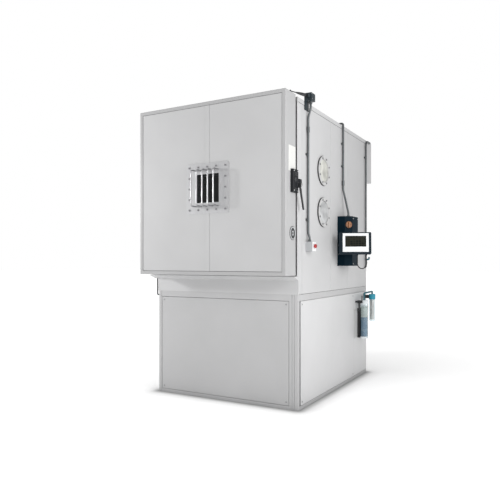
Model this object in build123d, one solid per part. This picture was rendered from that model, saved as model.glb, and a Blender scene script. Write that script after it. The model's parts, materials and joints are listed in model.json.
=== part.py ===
from build123d import *
from math import atan, cos, degrees, radians, sin, tan
import os

# Environmental test chamber, in millimetres.
# X runs to the right seen from the front, Y to the back, Z up.
# The origin is on the floor, under the middle of the body.

# Body
body_width = 1400
body_depth = 1760
base_height = 918
cabinet_height = 1560
sheet = 2
wall = 100
seam = 3

# Base frame
tube = 50
tube_wall = 3
rail_pitch = 350
floor_rise = 261
floor_foam = 118

# Base covers
cover_depth = 16
corner_width = 34
corner_radius = 13
stile_line = 2
left_stile = 7
right_stiles = (18, 25)
kick_height = 29
base_top_rail = 51
side_groove = 33
narrow_panel = 411
screw_radius = 6
screw_height = 2
screw_inset = 26

# Rear grille
slot_length = 300
slot_height = 9
slot_pitch = 30
slot_rows = 11
slot_columns = 3
slot_drop = 90

# Cabinet skins
front_strip = 90
first_skin = 632
second_skin = 459
trim_height = 35
plenum_depth = 450

# Door frame of the cabinet and the drip sill
jamb_step = 22
jamb_depth = 80
sill_reach = 70
sill_lip = 7
sill_height = 35
sill_overhang = 40
apron_depth = 14
door_gap = 7
drain_radius = 6.5
drain_length = 149

# Door
door_overlap_left = 12
door_overlap_right = 4
door_height = 1416
door_depth = 175
gasket_depth = 40
gasket_width = 45
gasket_inset = 14
gasket_round = 12
edge_width = 30
edge_proud = 3
edge_round = 6
door_groove = 3
plug_depth = 70
plug_gap = 6
batten_width = 38
free_gap = 0.3

# Window
glass_width = 226
glass_height = 235
window_plate = 410
plate_depth = 4
plate_corner = 14
tunnel_wall = 3
pane = 6
bolt_square = 350
bolts_per_side = 5
bolt_radius = 8
bolt_height = 6
rod_radius = 5.5
rod_count = 5
rod_pitch = 53.5
rod_bend = 18
guard_height = 304
guard_reach = 80

# Hinges
hinge_out = 40
hinge_forward = 50
pin_radius = 8
knuckle_radius = 14
knuckle_height = 60
leaf = 6
leaf_length = 120
door_leaf_length = 110
hinge_inset = 160
running_gap = 0.05

# Latch
latch_height = 177
latch_length = 95
latch_depth = 26
latch_round = 6
latch_above_middle = 24
lever_drop = 28
lever_hub = 16
lever_shaft = 7
lever_length = 200
lever_width = 20
lever_end_width = 14
lever_depth = 10
lever_lean = 21
boss_depth = 8
bolt_nose = 35
strike_height = 54
strike_length = 38
strike_depth = 24

# Ports on the right side
port_bore = 200
port_tube = 3
port_flange = 255
port_flange_depth = 15
port_circle = 224
port_bolts = 8
port_set_back = 518
port_rises = (693, 1054)
port_plug_length = 94
port_plug_recess = 6

# Conduits
conduit_radius = 9
conduit_off = 15
fitting_radius = 12.5
coupling_length = 46
connector_length = 18
clip_width = 44
clip_height = 18
front_conduit = 162
middle_conduit = 997
rear_conduit = 55
conduit_tight = 12
conduit_elbow = 18
conduit_sweep = 60
conduit_ease = 110
stop_conduit_rise = 33
stop_conduit_jog = 34
switch_jog_start = 120
switch_jog_end = 58
switch_coupling_drop = 245
control_conduit_rise = 39
control_jog = 220
control_coupling_rise = 300
roof_entry = 60
entry_length = 60
entry_width = 34
entry_height = 30
rear_conduit_foot = 204
clip_inset = 180

# Emergency stop
stop_set_back = 140
stop_length = 80
stop_depth = 59
stop_height = 79
stop_rise = 346
stop_conduit_off = 27
button_radius = 17
button_depth = 12
button_stem = 9
button_gap = 10
stop_wall = 3
stop_button_back = 37
stop_button_up = 43

# Door switch
switch_set_back = 110
switch_length = 80
switch_depth = 56
switch_height = 60
switch_plate = 6
switch_conduit_off = 36
wand_radius = 4
wand_reach = 124
wand_pivot_height = 35
wand_hub = 12
roller_radius = 9
roller_width = 8
roller_gap = 0.5
wand_tip_inside = 12

# Control enclosure
control_set_back = 880
control_length = 224
control_depth = 126
control_rise = 224
control_height = 461
control_chamfer = 55
control_round = 8
control_wall = 3
control_conduit_off = 66
knob_rise = 382
knob_radius = 30
knob_depth = 10
knob_grip = 14
knob_shaft = 6

# Monitor and its arm
arm_rise = 201
arm_along = 120
arm_off = 26
arm_pin = 6
arm_knuckle = 14
arm_knuckle_height = 32
arm_width = 20
arm_thickness = 24
arm_reach = 174.6
arm_side_step = 36.7
bracket_plate = 6
bracket_width = 70
bracket_height = 90
bracket_ear = 10
monitor_turn = 22
monitor_lean = 6
tilt_pin = 5
tilt_ear = 12
tilt_lug = 28
tilt_ear_width = 10
tilt_back = 24
face_width = 228
face_height = 167
face_depth = 4
housing_width = 282
housing_height = 196
housing_depth = 56
housing_round = 9
housing_left = 4
housing_down = 5
screen_width = 184
screen_height = 97
screen_up = 11
screen_recess = 1
cable_radius = 4
gland_radius = 7

# Water filters on the right side of the base
cartridge_radius = 39
cartridge_height = 326
cartridge_bottom = 419
cap_height = 19
head_height = 43
filter_wall = 3
filter_fit = 0.4
cartridge_forward = 270
cartridge_off = 64
resin_height = 195
bracket_strip = 60
bracket_below = 14
bracket_reach = 299
bowl_radius = 34
bowl_height = 233
bowl_rise = 367
bowl_head_height = 54
bowl_round = 20
bowl_forward = 60
bowl_off = 84
element_radius = 24
pipe_radius = 9
pipe_rise = 440
valve_forward = 353
valve_off = 40
valve_rise = 356
valve_radius = 16
valve_length = 34
valve_stem = 5
inlet_drop = 95
inlet_thread = 8.2
inlet_thread_length = 50
handle_length = 62
handle_width = 16
handle_depth = 7
handle_hub = 11
purge_forward = 25
purge_level = 287
purge_radius = 9
purge_reach = 40
purge_rise = 26

# Air system behind the baffle
baffle_gap = 150
baffle_slot = 22
baffle_slots = 6
coil_width = 1040
coil_depth = 260
coil_height = 300
coil_raise = 150
coil_off_back = 90
fin_gap = 8
fin_pitch = 40
heater_radius = 6
heater_count = 3
heater_width = 900
heater_reach = 220
heater_pitch = 70
heater_raise = 560
heater_plate = 8
wheel_radius = 180
wheel_depth = 100
wheel_plate = 4
wheel_blades = 12
blade_length = 50
hub_radius = 40
inlet_radius = 122
wheel_headroom = 18
wheel_off_wall = 40
shaft_radius = 14
sleeve_radius = 28
motor_radius = 85
motor_length = 140
motor_flange = 110
motor_flange_depth = 12
rear_cover_depth = 180
rear_cover_height = 437

# Shelf
shelf_rise = 381
shelf_depth = 1000
shelf_thickness = 12
shelf_rim = 40
shelf_slot = 30
shelf_bar = 12
shelf_gap = 4
runner = 30
runner_height = 20
shelf_back_gap = 20

# Machinery in the base
compressor_radius = 110
compressor_height = 330
compressor_round = 45
compressor_x = 300
foot_plate = 8
foot_width = 250
terminal_box = 70
line_radius = 9.5
condenser_radius = 80
condenser_length = 500
condenser_x = 430
condenser_height = 220
saddle = 40
stub_radius = 14
stub_thread = 13.2
stub_length = 48
stub_spread = 50
riser_x = 560
riser_back = 60
gland_bore = 20
gland_rim = 8
gland_depth = 24
gland_x = -480
gland_z = 140
stub_hole_gap = 1

# Places worked out from the sizes above
right = body_width / 2
left = -right
back = body_depth / 2
front = -back
roof = base_height + cabinet_height
inside = right - wall
inside_top = roof - wall
inside_floor = base_height + floor_rise
inside_back = back - wall
skin_inside = right - sheet
liner_outside = inside + sheet
plinth_top = inside_floor - sheet - floor_foam
frame_side = right - cover_depth
frame_front = front + cover_depth
frame_back = back - cover_depth
jamb_front = front - jamb_step
jamb_back = jamb_front + jamb_depth
port_heights = [base_height + rise for rise in port_rises]
stop_bottom = base_height + stop_rise
control_bottom = base_height + control_rise
knob_height = control_bottom + knob_rise
arm_height = control_bottom + arm_rise
purge_height = base_height + purge_level
bracket_foot = cartridge_bottom - bracket_below
bracket_top = bracket_foot + bracket_reach
bowl_top = cartridge_bottom + bowl_rise
pipe_height = cartridge_bottom + pipe_rise
valve_height = cartridge_bottom + valve_rise
inlet_bottom = valve_height - inlet_drop
blower_height = inside_top - wheel_radius - wheel_headroom
shelf_height = inside_floor + shelf_rise
baffle_front = inside_back - plenum_depth
door_left = left - door_overlap_left
door_right = right + door_overlap_right
door_middle = (door_left + door_right) / 2
door_rear = jamb_front - gasket_depth
door_front = door_rear - door_depth
sill_bottom = plinth_top - sill_height + sill_lip - sheet
sill_top = sill_bottom + sill_height
door_bottom = sill_top + door_gap
door_top = door_bottom + door_height
window_z = (door_bottom + door_top) / 2
hinge_x = left - hinge_out
hinge_y = front - hinge_forward


def block(x, y, z):
    """Box that spans a range along each axis."""
    size = [high - low for low, high in (x, y, z)]
    middle = [(low + high) / 2 for low, high in (x, y, z)]
    return Pos(*middle) * Box(*size)


def bar(start, end, radius):
    """Round bar between two points."""
    run = Vector(*end) - Vector(*start)
    return Solid.make_cylinder(radius, run.length, Plane(origin=start, z_dir=run))


def ring(start, end, outer, inner):
    """Round tube between two points."""
    return bar(start, end, outer) - bar(start, end, inner)


def beam(x, y, z, along):
    """Square tube that runs along one axis."""
    spans = {"X": x, "Y": y, "Z": z}
    bore = {axis: span if axis == along else (span[0] + tube_wall, span[1] - tube_wall)
            for axis, span in spans.items()}
    return block(x, y, z) - block(bore["X"], bore["Y"], bore["Z"])


def pan(x, y, z, open_to, thickness=sheet):
    """Sheet tray with four returns, open to one side, such as +X."""
    spans = {"X": x, "Y": y, "Z": z}
    hollow = {axis: [span[0] + thickness, span[1] - thickness] for axis, span in spans.items()}
    side = 1 if open_to[0] == "+" else 0
    hollow[open_to[1]][side] = spans[open_to[1]][side]
    return block(x, y, z) - block(hollow["X"], hollow["Y"], hollow["Z"])


def bent_bar(points, radii, radius):
    """Round bar along straight runs joined by arcs."""
    path = FilletPolyline(*points, radius=radii)
    return sweep(Plane(origin=path @ 0, z_dir=path % 0) * Circle(radius), path)


def bolt_head(place, direction, radius, height):
    """Six-sided bolt head that sits on a face."""
    face = Plane(origin=place, z_dir=direction) * RegularPolygon(radius, 6)
    return extrude(face, height)


def both_sides(piece):
    """A piece of the right side and its mirror image on the left side."""
    return [piece, mirror(piece, Plane.YZ)]


def save(name, pieces):
    """Write a piece, or a group of like pieces, as one STEP file."""
    solids = [solid for piece in pieces for solid in piece.solids()]
    shape = solids[0] if len(solids) == 1 else Compound(children=solids)
    export_step(shape, f"parts/{name}.step")


# Base

def cross_rails():
    """Places along Y of the rails that carry the machinery."""
    return [step * rail_pitch for step in (-2, -1, 0, 1, 2)]


def base_frame():
    """Welded frame of square tube, with the plinth rails under the cabinet floor."""
    post_x = [(-frame_side, -frame_side + tube), (frame_side - tube, frame_side)]
    post_y = [(frame_front, frame_front + tube), (frame_back - tube, frame_back)]
    levels = [(0, tube), (base_height - tube, base_height)]
    between_x = (-frame_side + tube, frame_side - tube)
    between_y = (frame_front + tube, frame_back - tube)
    tubes = [beam(x, y, (0, base_height), "Z") for x in post_x for y in post_y]
    tubes += [beam(between_x, y, z, "X") for y in post_y for z in levels]
    tubes += [beam(x, between_y, z, "Y") for x in post_x for z in levels]
    for y in cross_rails():
        tubes.append(beam(between_x, (y - tube / 2, y + tube / 2), levels[0], "X"))
    for y in (-rail_pitch, rail_pitch):
        tubes.append(beam(between_x, (y - tube / 2, y + tube / 2), levels[1], "X"))
    plinth_y = (front + apron_depth, inside_back + sheet)
    plinth_x = liner_outside - tube
    for x in (-plinth_x, -tube / 2, plinth_x - tube):
        tubes.append(beam((x, x + tube), plinth_y, (base_height, plinth_top), "Y"))
    return tubes


def corner_post():
    """Rounded cover of the right front corner of the base."""
    post = block((right - corner_width, right), (front, front + cover_depth), (0, base_height))
    edge = post.edges().filter_by(Axis.Z).sort_by(Axis.X)[-2:].sort_by(Axis.Y)[0]
    return fillet(edge, corner_radius)


def front_opening():
    """X range of the front panel's opening."""
    margin = corner_width + stile_line
    return (left + margin + left_stile, right - margin - sum(right_stiles) - stile_line)


def base_surround():
    """Fixed strips around the removable panels of the base."""
    depth = (front, front + cover_depth)
    height = (0, base_height)
    opening = front_opening()
    first = right - corner_width - stile_line
    second = first - right_stiles[0] - stile_line
    strips = both_sides(corner_post())
    strips.append(block((first - right_stiles[0], first), depth, height))
    strips.append(block((second - right_stiles[1], second), depth, height))
    strips.append(block((opening[0] - left_stile, opening[0]), depth, height))
    bands = [(0, kick_height), (base_height - base_top_rail, base_height)]
    for band in bands:
        strips.append(block(opening, depth, band))
        side = block((frame_side, right), (front + cover_depth, back), band)
        strips += both_sides(side)
        strips.append(block((-frame_side, frame_side), (frame_back, back), band))
    return strips


def panel_height():
    """Z range of the removable base panels."""
    return (kick_height + seam, base_height - base_top_rail - seam)


def front_base_panel():
    """Removable front panel."""
    low, high = front_opening()
    return [pan((low + seam, high - seam), (front, front + cover_depth), panel_height(), "+Y")]


def side_panel_seam():
    """Place along Y of the seam between the long and the narrow side panel."""
    return back - narrow_panel


def side_base_panels():
    """Long and narrow panels on both sides of the base."""
    start = front + cover_depth + side_groove
    split = side_panel_seam()
    ranges = [(start, split - seam / 2), (split + seam / 2, back)]
    return [piece for span in ranges
            for piece in both_sides(pan((frame_side, right), span, panel_height(), "-X"))]


def condenser_stub_places():
    """X and Z of the water stubs at the rear."""
    return [(condenser_x + side * stub_spread, condenser_height) for side in (-1, 1)]


def rear_grille_panel():
    """Rear panel with air slots, water stub holes and a gland for the mains lead."""
    panel = pan((-frame_side + seam, frame_side - seam), (frame_back, back), panel_height(), "-Y")
    top = panel_height()[1] - slot_drop
    gap = (2 * frame_side - slot_columns * slot_length) / (slot_columns + 1)
    for column in range(slot_columns):
        start = -frame_side + gap + column * (slot_length + gap)
        for row in range(slot_rows):
            z = top - row * slot_pitch
            panel -= block((start, start + slot_length), (frame_back, back), (z - slot_height, z))
    for x, z in condenser_stub_places():
        panel -= bar((x, frame_back, z), (x, back, z), stub_radius + stub_hole_gap)
    centre = (gland_x, back - sheet, gland_z)
    panel -= bar(centre, (gland_x, back, gland_z), gland_bore)
    gland = ring(centre, (gland_x, back + gland_depth, gland_z), gland_bore + gland_rim, gland_bore)
    collar = bar(centre, (gland_x, back, gland_z), gland_bore + gland_rim)
    return [panel - collar, gland]


def panel_screws():
    """Screws of the base panels and bolts of the port flanges."""
    low, high = front_opening()
    bottom, top = panel_height()
    heights = (bottom + screw_inset, top - screw_inset)
    screws = []
    for z in heights:
        for x in (low + screw_inset, high - screw_inset):
            screws.append(bar((x, front, z), (x, front - screw_height, z), screw_radius))
        for y in (side_panel_seam() - screw_inset, front + cover_depth + side_groove + screw_inset):
            screws += both_sides(bar((right, y, z), (right + screw_height, y, z), screw_radius))
    face = right + port_flange_depth
    for height in port_heights:
        for step in range(port_bolts):
            angle = radians(360 / port_bolts * (step + 0.5))
            y = front + port_set_back + port_circle / 2 * cos(angle)
            z = height + port_circle / 2 * sin(angle)
            screws.append(bolt_head((face, y, z), (1, 0, 0), bolt_radius, bolt_height))
    return screws


# Machinery in the base

def compressor(x):
    """Hermetic compressor with its foot plate and terminal box."""
    y = -rail_pitch / 2
    reach = rail_pitch / 2 + tube / 2
    foot = block((x - foot_width / 2, x + foot_width / 2), (y - reach, y + reach),
                 (tube, tube + foot_plate))
    bottom = tube + foot_plate
    shell = bar((x, y, bottom), (x, y, bottom + compressor_height), compressor_radius)
    shell = fillet(shell.edges().filter_by(GeomType.CIRCLE).sort_by(Axis.Z)[-1], compressor_round)
    side = y - compressor_radius
    box = block((x - terminal_box / 2, x + terminal_box / 2), (side - terminal_box / 2, y),
                (bottom + terminal_box, bottom + 2 * terminal_box))
    return [foot, shell + box]


def compressors():
    """The two compressors of the cascade."""
    return compressor(-compressor_x) + compressor(compressor_x)


def condenser():
    """Water-cooled condenser on two saddles, with its water stubs."""
    z = condenser_height
    start = rail_pitch - saddle
    end = start + condenser_length - saddle
    shell = bar((condenser_x, start, z), (condenser_x, end, z), condenser_radius)
    pieces = [shell]
    for y in cross_rails()[-2:]:
        foot = block((condenser_x - condenser_radius, condenser_x + condenser_radius),
                     (y - saddle / 2, y + saddle / 2), (tube, z))
        pieces.append(foot - shell)
    for x, height in condenser_stub_places():
        stub = bar((x, end, height), (x, back + stub_radius, height), stub_radius)
        thread_end = (x, back + stub_radius + stub_length, height)
        pieces.append(stub + bar((x, back + stub_radius, height), thread_end, stub_thread))
    return pieces


def refrigerant_lines():
    """Copper lines between the compressors, the condenser and the coil."""
    y = -rail_pitch / 2
    top = tube + foot_plate + compressor_height
    loop = top + compressor_radius
    cross = bent_bar([(-compressor_x, y, top), (-compressor_x, y, loop), (compressor_x, y, loop),
                      (compressor_x, y, top)], line_radius * 4, line_radius)
    start = rail_pitch - saddle
    shell_side = y + compressor_radius
    level = condenser_height
    feed = bent_bar([(compressor_x, shell_side, level), (compressor_x, 0, level),
                     (condenser_x, 0, level), (condenser_x, start, level)],
                    line_radius * 3, line_radius)
    riser_y = inside_back - coil_off_back - riser_back
    coil_bottom = inside_floor + coil_raise
    shell_back = y + compressor_radius
    riser = bent_bar([(-compressor_x, shell_back, level), (-compressor_x, rail_pitch / 2, level),
                      (-riser_x + coil_inset(), riser_y, level),
                      (-riser_x + coil_inset(), riser_y, coil_bottom)],
                     line_radius * 4, line_radius)
    return [cross, feed, riser]


def coil_inset():
    """Distance that brings the riser under the coil's end plate."""
    return riser_x - coil_width / 2 + 3 * line_radius


def riser_hole(z):
    """Round hole for the riser through the cabinet floor."""
    x = -riser_x + coil_inset()
    y = inside_back - coil_off_back - riser_back
    return bar((x, y, z[0]), (x, y, z[1]), line_radius)


# Cabinet

def port_hole(height, start, end):
    """Round hole for a port sleeve."""
    y = front + port_set_back
    return bar((start, y, height), (end, y, height), port_bore / 2 + port_tube)


def shaft_hole(start, end):
    """Round hole for the blower's shaft sleeve."""
    return bar((0, start, blower_height), (0, end, blower_height), sleeve_radius)


def wall_skins():
    """Outer sheets of both sides and of the back."""
    z = (base_height + seam, roof - sheet)
    first = jamb_front + front_strip
    second = first + seam + first_skin
    third = second + seam + second_skin
    spans = [(jamb_front, first), (first + seam, second), (second + seam, third), (third + seam, back)]
    skins = [piece for span in spans for piece in both_sides(block((skin_inside, right), span, z))]
    sill_notch = block((left, right), (jamb_front, front + apron_depth), (base_height, sill_top))
    skins = [skin - sill_notch for skin in skins]
    for height in port_heights:
        hole = port_hole(height, skin_inside, right)
        skins = [skin - hole for skin in skins]
    rear = block((-skin_inside, skin_inside), (back - sheet, back), z)
    return skins + [rear - shaft_hole(back - sheet, back)]


def roof_cap():
    """Roof sheet with its turned-down side trims."""
    x = (left - sheet, right + sheet)
    y = (jamb_front, back)
    cap = block(x, y, (roof - trim_height, roof))
    return [cap - block((left, right), y, (roof - trim_height, roof - sheet))]


def insulation():
    """Foam in the sides, roof, floor and back."""
    y = (jamb_back, back - sheet)
    z = (base_height, roof - sheet)
    side = block((liner_outside, skin_inside), y, z)
    left_side = mirror(side, Plane.YZ)
    for height in port_heights:
        side -= port_hole(height, liner_outside, skin_inside)
    across = (-liner_outside, liner_outside)
    inner_y = (jamb_back, inside_back + sheet)
    top = block(across, inner_y, (inside_top + sheet, roof - sheet))
    floor = block(across, inner_y, (plinth_top, inside_floor - sheet))
    floor -= riser_hole((plinth_top, inside_floor - sheet))
    rear_y = (inside_back + sheet, back - sheet)
    rear = block(across, rear_y, z) - shaft_hole(*rear_y)
    return [left_side, side, top, floor, rear]


def liner():
    """Stainless liner sheets and the two shelf runners."""
    y = (jamb_back, inside_back)
    z = (inside_floor, inside_top)
    side = block((inside, liner_outside), y, (inside_floor - sheet, inside_top + sheet))
    left_side = mirror(side, Plane.YZ)
    for height in port_heights:
        side -= port_hole(height, inside, liner_outside)
    floor = block((-inside, inside), y, (inside_floor - sheet, inside_floor))
    floor -= riser_hole((inside_floor - sheet, inside_floor))
    ceiling = block((-inside, inside), y, (inside_top, inside_top + sheet))
    rear_y = (inside_back, inside_back + sheet)
    rear = block((-liner_outside, liner_outside), rear_y, (z[0] - sheet, z[1] + sheet))
    rail = block((inside - runner, inside), shelf_span(), (shelf_height - runner_height, shelf_height))
    return [left_side, side, floor, ceiling, rear - shaft_hole(*rear_y)] + both_sides(rail)


def door_jamb():
    """Four bars of the frame that the door closes on."""
    y = (jamb_front, jamb_back)
    side = block((inside, skin_inside), y, (sill_top, roof - sheet))
    top = block((-inside, inside), y, (inside_top, roof - sheet))
    bottom = block((-inside, inside), y, (sill_top, inside_floor))
    return both_sides(side) + [top, bottom]


def drip_sill():
    """Sloped sill under the door and the apron below it."""
    lip = front - sill_reach
    rear = front + apron_depth
    outline = Polyline((lip, sill_top), (lip, sill_top - sill_lip), (front, sill_bottom),
                       (rear, sill_bottom), (rear, sill_top), close=True)
    profile = Plane(origin=(left - sill_overhang, 0, 0), x_dir=(0, 1, 0), z_dir=(1, 0, 0)) * make_face(outline)
    sill = extrude(profile, body_width + sill_overhang)
    apron = pan((left, right), (front, rear), (base_height, sill_bottom), "+Y")
    return [sill, apron]


def sill_drain_pipe():
    """Drain pipe from the sill's left end into the base."""
    x = left - drain_radius - free_gap
    y = front + drain_radius + free_gap
    end = sill_bottom - drain_length
    bend = drain_radius * 1.5
    inner = left
    return [bent_bar([(x - bend, y, sill_bottom), (x - bend, y, end), (inner, y, end)], bend, drain_radius)]


# Air system

def air_baffle():
    """Sheet between the workspace and the plenum, open above and below."""
    y = (baffle_front, baffle_front + sheet)
    top = inside_top - baffle_gap
    baffle = block((-inside, inside), y, (inside_floor + baffle_gap, top))
    for row in range(baffle_slots):
        z = top - (row + 1) * 2 * baffle_slot
        baffle -= block((-inside + baffle_gap, inside - baffle_gap), y, (z - baffle_slot, z))
    return [baffle]


def evaporator_coil():
    """Finned cooling coil on four feet."""
    rear = inside_back - coil_off_back
    y = (rear - coil_depth, rear)
    bottom = inside_floor + coil_raise
    core = block((-coil_width / 2, coil_width / 2), y, (bottom, bottom + coil_height))
    count = int((coil_width / 2 - 2 * fin_pitch) / fin_pitch)
    for step in range(-count, count + 1):
        x = step * fin_pitch
        for groove_y in ((y[0], y[0] + 3 * fin_gap), (y[1] - 3 * fin_gap, y[1])):
            core -= block((x - fin_gap / 2, x + fin_gap / 2), groove_y,
                          (bottom + fin_gap, bottom + coil_height - fin_gap))
    feet = []
    for x in (-coil_width / 2, coil_width / 2 - 2 * fin_gap):
        for place in (y[0], y[1] - 3 * fin_gap):
            feet.append(block((x, x + 2 * fin_gap), (place, place + 3 * fin_gap), (inside_floor, bottom)))
    return [core] + feet


def heater_elements():
    """Bent heater rods held by a terminal plate on the back liner."""
    half = heater_width / 2
    face = inside_back - heater_plate
    low = inside_floor + heater_raise
    rods = []
    for step in range(heater_count):
        z = low + step * heater_pitch
        rods.append(bent_bar([(-half, face, z), (-half, face - heater_reach, z),
                              (half, face - heater_reach, z), (half, face, z)],
                             heater_radius * 6, heater_radius))
    top = low + (heater_count - 1) * heater_pitch
    for x in (-half, half):
        rods.append(block((x - heater_pitch / 2, x + heater_pitch / 2), (face, inside_back),
                          (low - heater_pitch / 2, top + heater_pitch / 2)))
    return rods


def wheel_range():
    """Y range of the blower wheel."""
    rear = inside_back - wheel_off_wall
    return (rear - wheel_depth, rear)


def blower_wheel():
    """Centrifugal wheel and the shaft that turns it."""
    start, end = wheel_range()
    z = blower_height
    wheel = bar((0, end - wheel_plate, z), (0, end, z), wheel_radius)
    wheel += bar((0, end - wheel_depth * 2 / 3, z), (0, end, z), hub_radius)
    wheel += ring((0, start, z), (0, start + wheel_plate, z), wheel_radius, inlet_radius)
    for step in range(wheel_blades):
        inner = wheel_radius - blade_length
        blade = block((inner, wheel_radius - wheel_plate), (start + wheel_plate / 2, end - wheel_plate / 2),
                      (-wheel_plate / 2, wheel_plate / 2))
        wheel += Pos(0, 0, z) * Rot(0, 360 / wheel_blades * step, 0) * blade
    wheel -= bar((0, start, z), (0, end, z), shaft_radius)
    shaft = bar((0, end - wheel_depth * 2 / 3, z), (0, back + motor_length / 2, z), shaft_radius)
    return [wheel, shaft]


def blower_motor():
    """Motor behind the rear wall, with the sleeve that carries the shaft."""
    z = blower_height
    body = bar((0, back + motor_flange_depth, z), (0, back + motor_length, z), motor_radius)
    body += bar((0, back, z), (0, back + motor_flange_depth, z), motor_flange)
    body += bar((0, inside_back, z), (0, back, z), sleeve_radius)
    bore_end = back + motor_length / 2 + free_gap
    return [body - bar((0, inside_back, z), (0, bore_end, z), shaft_radius + running_gap)]


def rear_cover():
    """Cover over the motor at the top of the rear wall."""
    z = (roof - rear_cover_height, roof)
    return [pan((left, right), (back, back + rear_cover_depth), z, "-Y")]


# Shelf

def shelf_span():
    """Y range of the shelf."""
    rear = baffle_front - shelf_back_gap
    return (rear - shelf_depth, rear)


def shelf():
    """Slotted shelf that lies on the runners."""
    half = inside - shelf_gap
    y = shelf_span()
    plate = block((-half, half), y, (shelf_height, shelf_height + shelf_thickness))
    pitch = shelf_slot + shelf_bar
    count = int((y[1] - y[0] - 2 * shelf_rim + shelf_bar) / pitch)
    for step in range(count):
        start = y[0] + shelf_rim + step * pitch
        for x in ((-half + shelf_rim, -shelf_bar / 2), (shelf_bar / 2, half - shelf_rim)):
            plate -= block(x, (start, start + shelf_slot), (shelf_height, shelf_height + shelf_thickness))
    return [plate]


# Ports

def port_sleeves():
    """Port tubes through the right wall, with their flanges."""
    y = front + port_set_back
    sleeves = []
    for z in port_heights:
        tube_end = (right, y, z)
        sleeve = bar((inside, y, z), tube_end, port_bore / 2 + port_tube)
        sleeve += bar(tube_end, (right + port_flange_depth, y, z), port_flange / 2)
        sleeves.append(sleeve - bar((inside, y, z), (right + port_flange_depth, y, z), port_bore / 2))
    return sleeves


def port_plug(height):
    """Foam plug of one port."""
    y = front + port_set_back
    face = right + port_flange_depth - port_plug_recess
    plug = bar((face - port_plug_length, y, height), (face, y, height), port_bore / 2 - free_gap)
    return [chamfer(plug.edges().filter_by(GeomType.CIRCLE), port_tube)]


# Conduits

def conduit_ring(place, length):
    """Fitting around an upright conduit."""
    x, y, z = place
    return ring(place, (x, y, z + length), fitting_radius, conduit_radius)


def conduit_clip(y, z):
    """Saddle that holds a conduit on the side wall."""
    centre = right + conduit_off
    saddle_block = block((right, centre), (y - clip_width / 2, y + clip_width / 2),
                         (z - clip_height / 2, z + clip_height / 2))
    return saddle_block - bar((centre, y, z - clip_height), (centre, y, z + clip_height), conduit_radius)


def stop_conduit():
    """Run from the emergency stop box up to the door switch, with its fittings."""
    y = front + front_conduit
    near = right + conduit_off
    start_x = right + stop_conduit_off
    end_x = right + switch_conduit_off
    start = stop_bottom + stop_height
    jog = start + stop_conduit_rise
    end = roof + sheet
    run = bent_bar([(start_x, y, start), (start_x, y, jog), (near, y, jog + stop_conduit_jog),
                    (near, y, roof - switch_jog_start), (end_x, y, roof - switch_jog_end), (end_x, y, end)],
                   [conduit_sweep, conduit_sweep, conduit_ease, conduit_ease], conduit_radius)
    fittings = [conduit_ring((start_x, y, start), connector_length),
                conduit_ring((near, y, roof - switch_coupling_drop), coupling_length),
                conduit_ring((end_x, y, end - connector_length), connector_length)]
    clips = [conduit_clip(y, start + clip_inset),
             conduit_clip(y, roof - switch_coupling_drop - clip_inset)]
    return [run] + fittings + clips


def control_conduit():
    """Run from the roof's edge down to the control enclosure, with its fittings."""
    y = front + middle_conduit
    near = right + conduit_off
    end_x = right + control_conduit_off
    end = control_bottom + control_height
    jog = end + control_conduit_rise
    entry_x = right - roof_entry
    over = roof + entry_height / 2
    run = bent_bar([(entry_x, y, over), (near, y, over), (near, y, jog + control_jog), (end_x, y, jog),
                    (end_x, y, end)],
                   [conduit_elbow, conduit_ease, conduit_ease], conduit_radius)
    entry = block((entry_x - entry_length, entry_x), (y - entry_width / 2, y + entry_width / 2),
                  (roof, roof + entry_height))
    fittings = [conduit_ring((end_x, y, end), connector_length),
                conduit_ring((near, y, end + control_coupling_rise), coupling_length)]
    clips = [conduit_clip(y, end + control_coupling_rise + clip_inset),
             conduit_clip(y, roof - clip_inset)]
    return [run, entry] + fittings + clips


def side_conduit():
    """Run from the rear cover down to the foot of the side wall."""
    y = back - rear_conduit
    near = right + conduit_off
    cover_y = back + rear_cover_depth / 2
    high = roof - fitting_radius
    low = base_height + rear_conduit_foot
    run = bent_bar([(right, cover_y, high), (near, cover_y, high), (near, y, high), (near, y, low),
                    (right, y, low)],
                   [conduit_tight, conduit_sweep, conduit_tight], conduit_radius)
    return [run, conduit_clip(y, low + clip_inset), conduit_clip(y, high - clip_inset)]


def conduits():
    """Three conduit runs on the right side, with couplings and clips."""
    return stop_conduit() + control_conduit() + side_conduit()


# Emergency stop

def stop_button_centre():
    """Y and Z of the emergency stop button."""
    return (front + stop_set_back + stop_button_back, stop_bottom + stop_button_up)


def estop_box():
    """Small box of the emergency stop."""
    y = (front + stop_set_back, front + stop_set_back + stop_length)
    z = (stop_bottom, stop_bottom + stop_height)
    box = pan((right, right + stop_depth), y, z, "-X", stop_wall)
    centre = stop_button_centre()
    face = right + stop_depth
    return [box - bar((face - stop_wall, *centre), (face, *centre), button_stem + free_gap)]


def estop_button():
    """Mushroom button and its stem."""
    centre = stop_button_centre()
    face = right + stop_depth
    head_start = face + button_gap
    head = bar((head_start, *centre), (head_start + button_depth, *centre), button_radius)
    rim = head.edges().filter_by(GeomType.CIRCLE).sort_by(Axis.X)[-1]
    stem = bar((face - stop_depth / 2, *centre), (head_start, *centre), button_stem)
    return [fillet(rim, button_depth / 2) + stem]


# Door switch

def switch_pivot():
    """Y and Z of the door switch lever's pivot."""
    return (front + switch_set_back - wand_hub, roof + sheet + wand_pivot_height)


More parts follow.
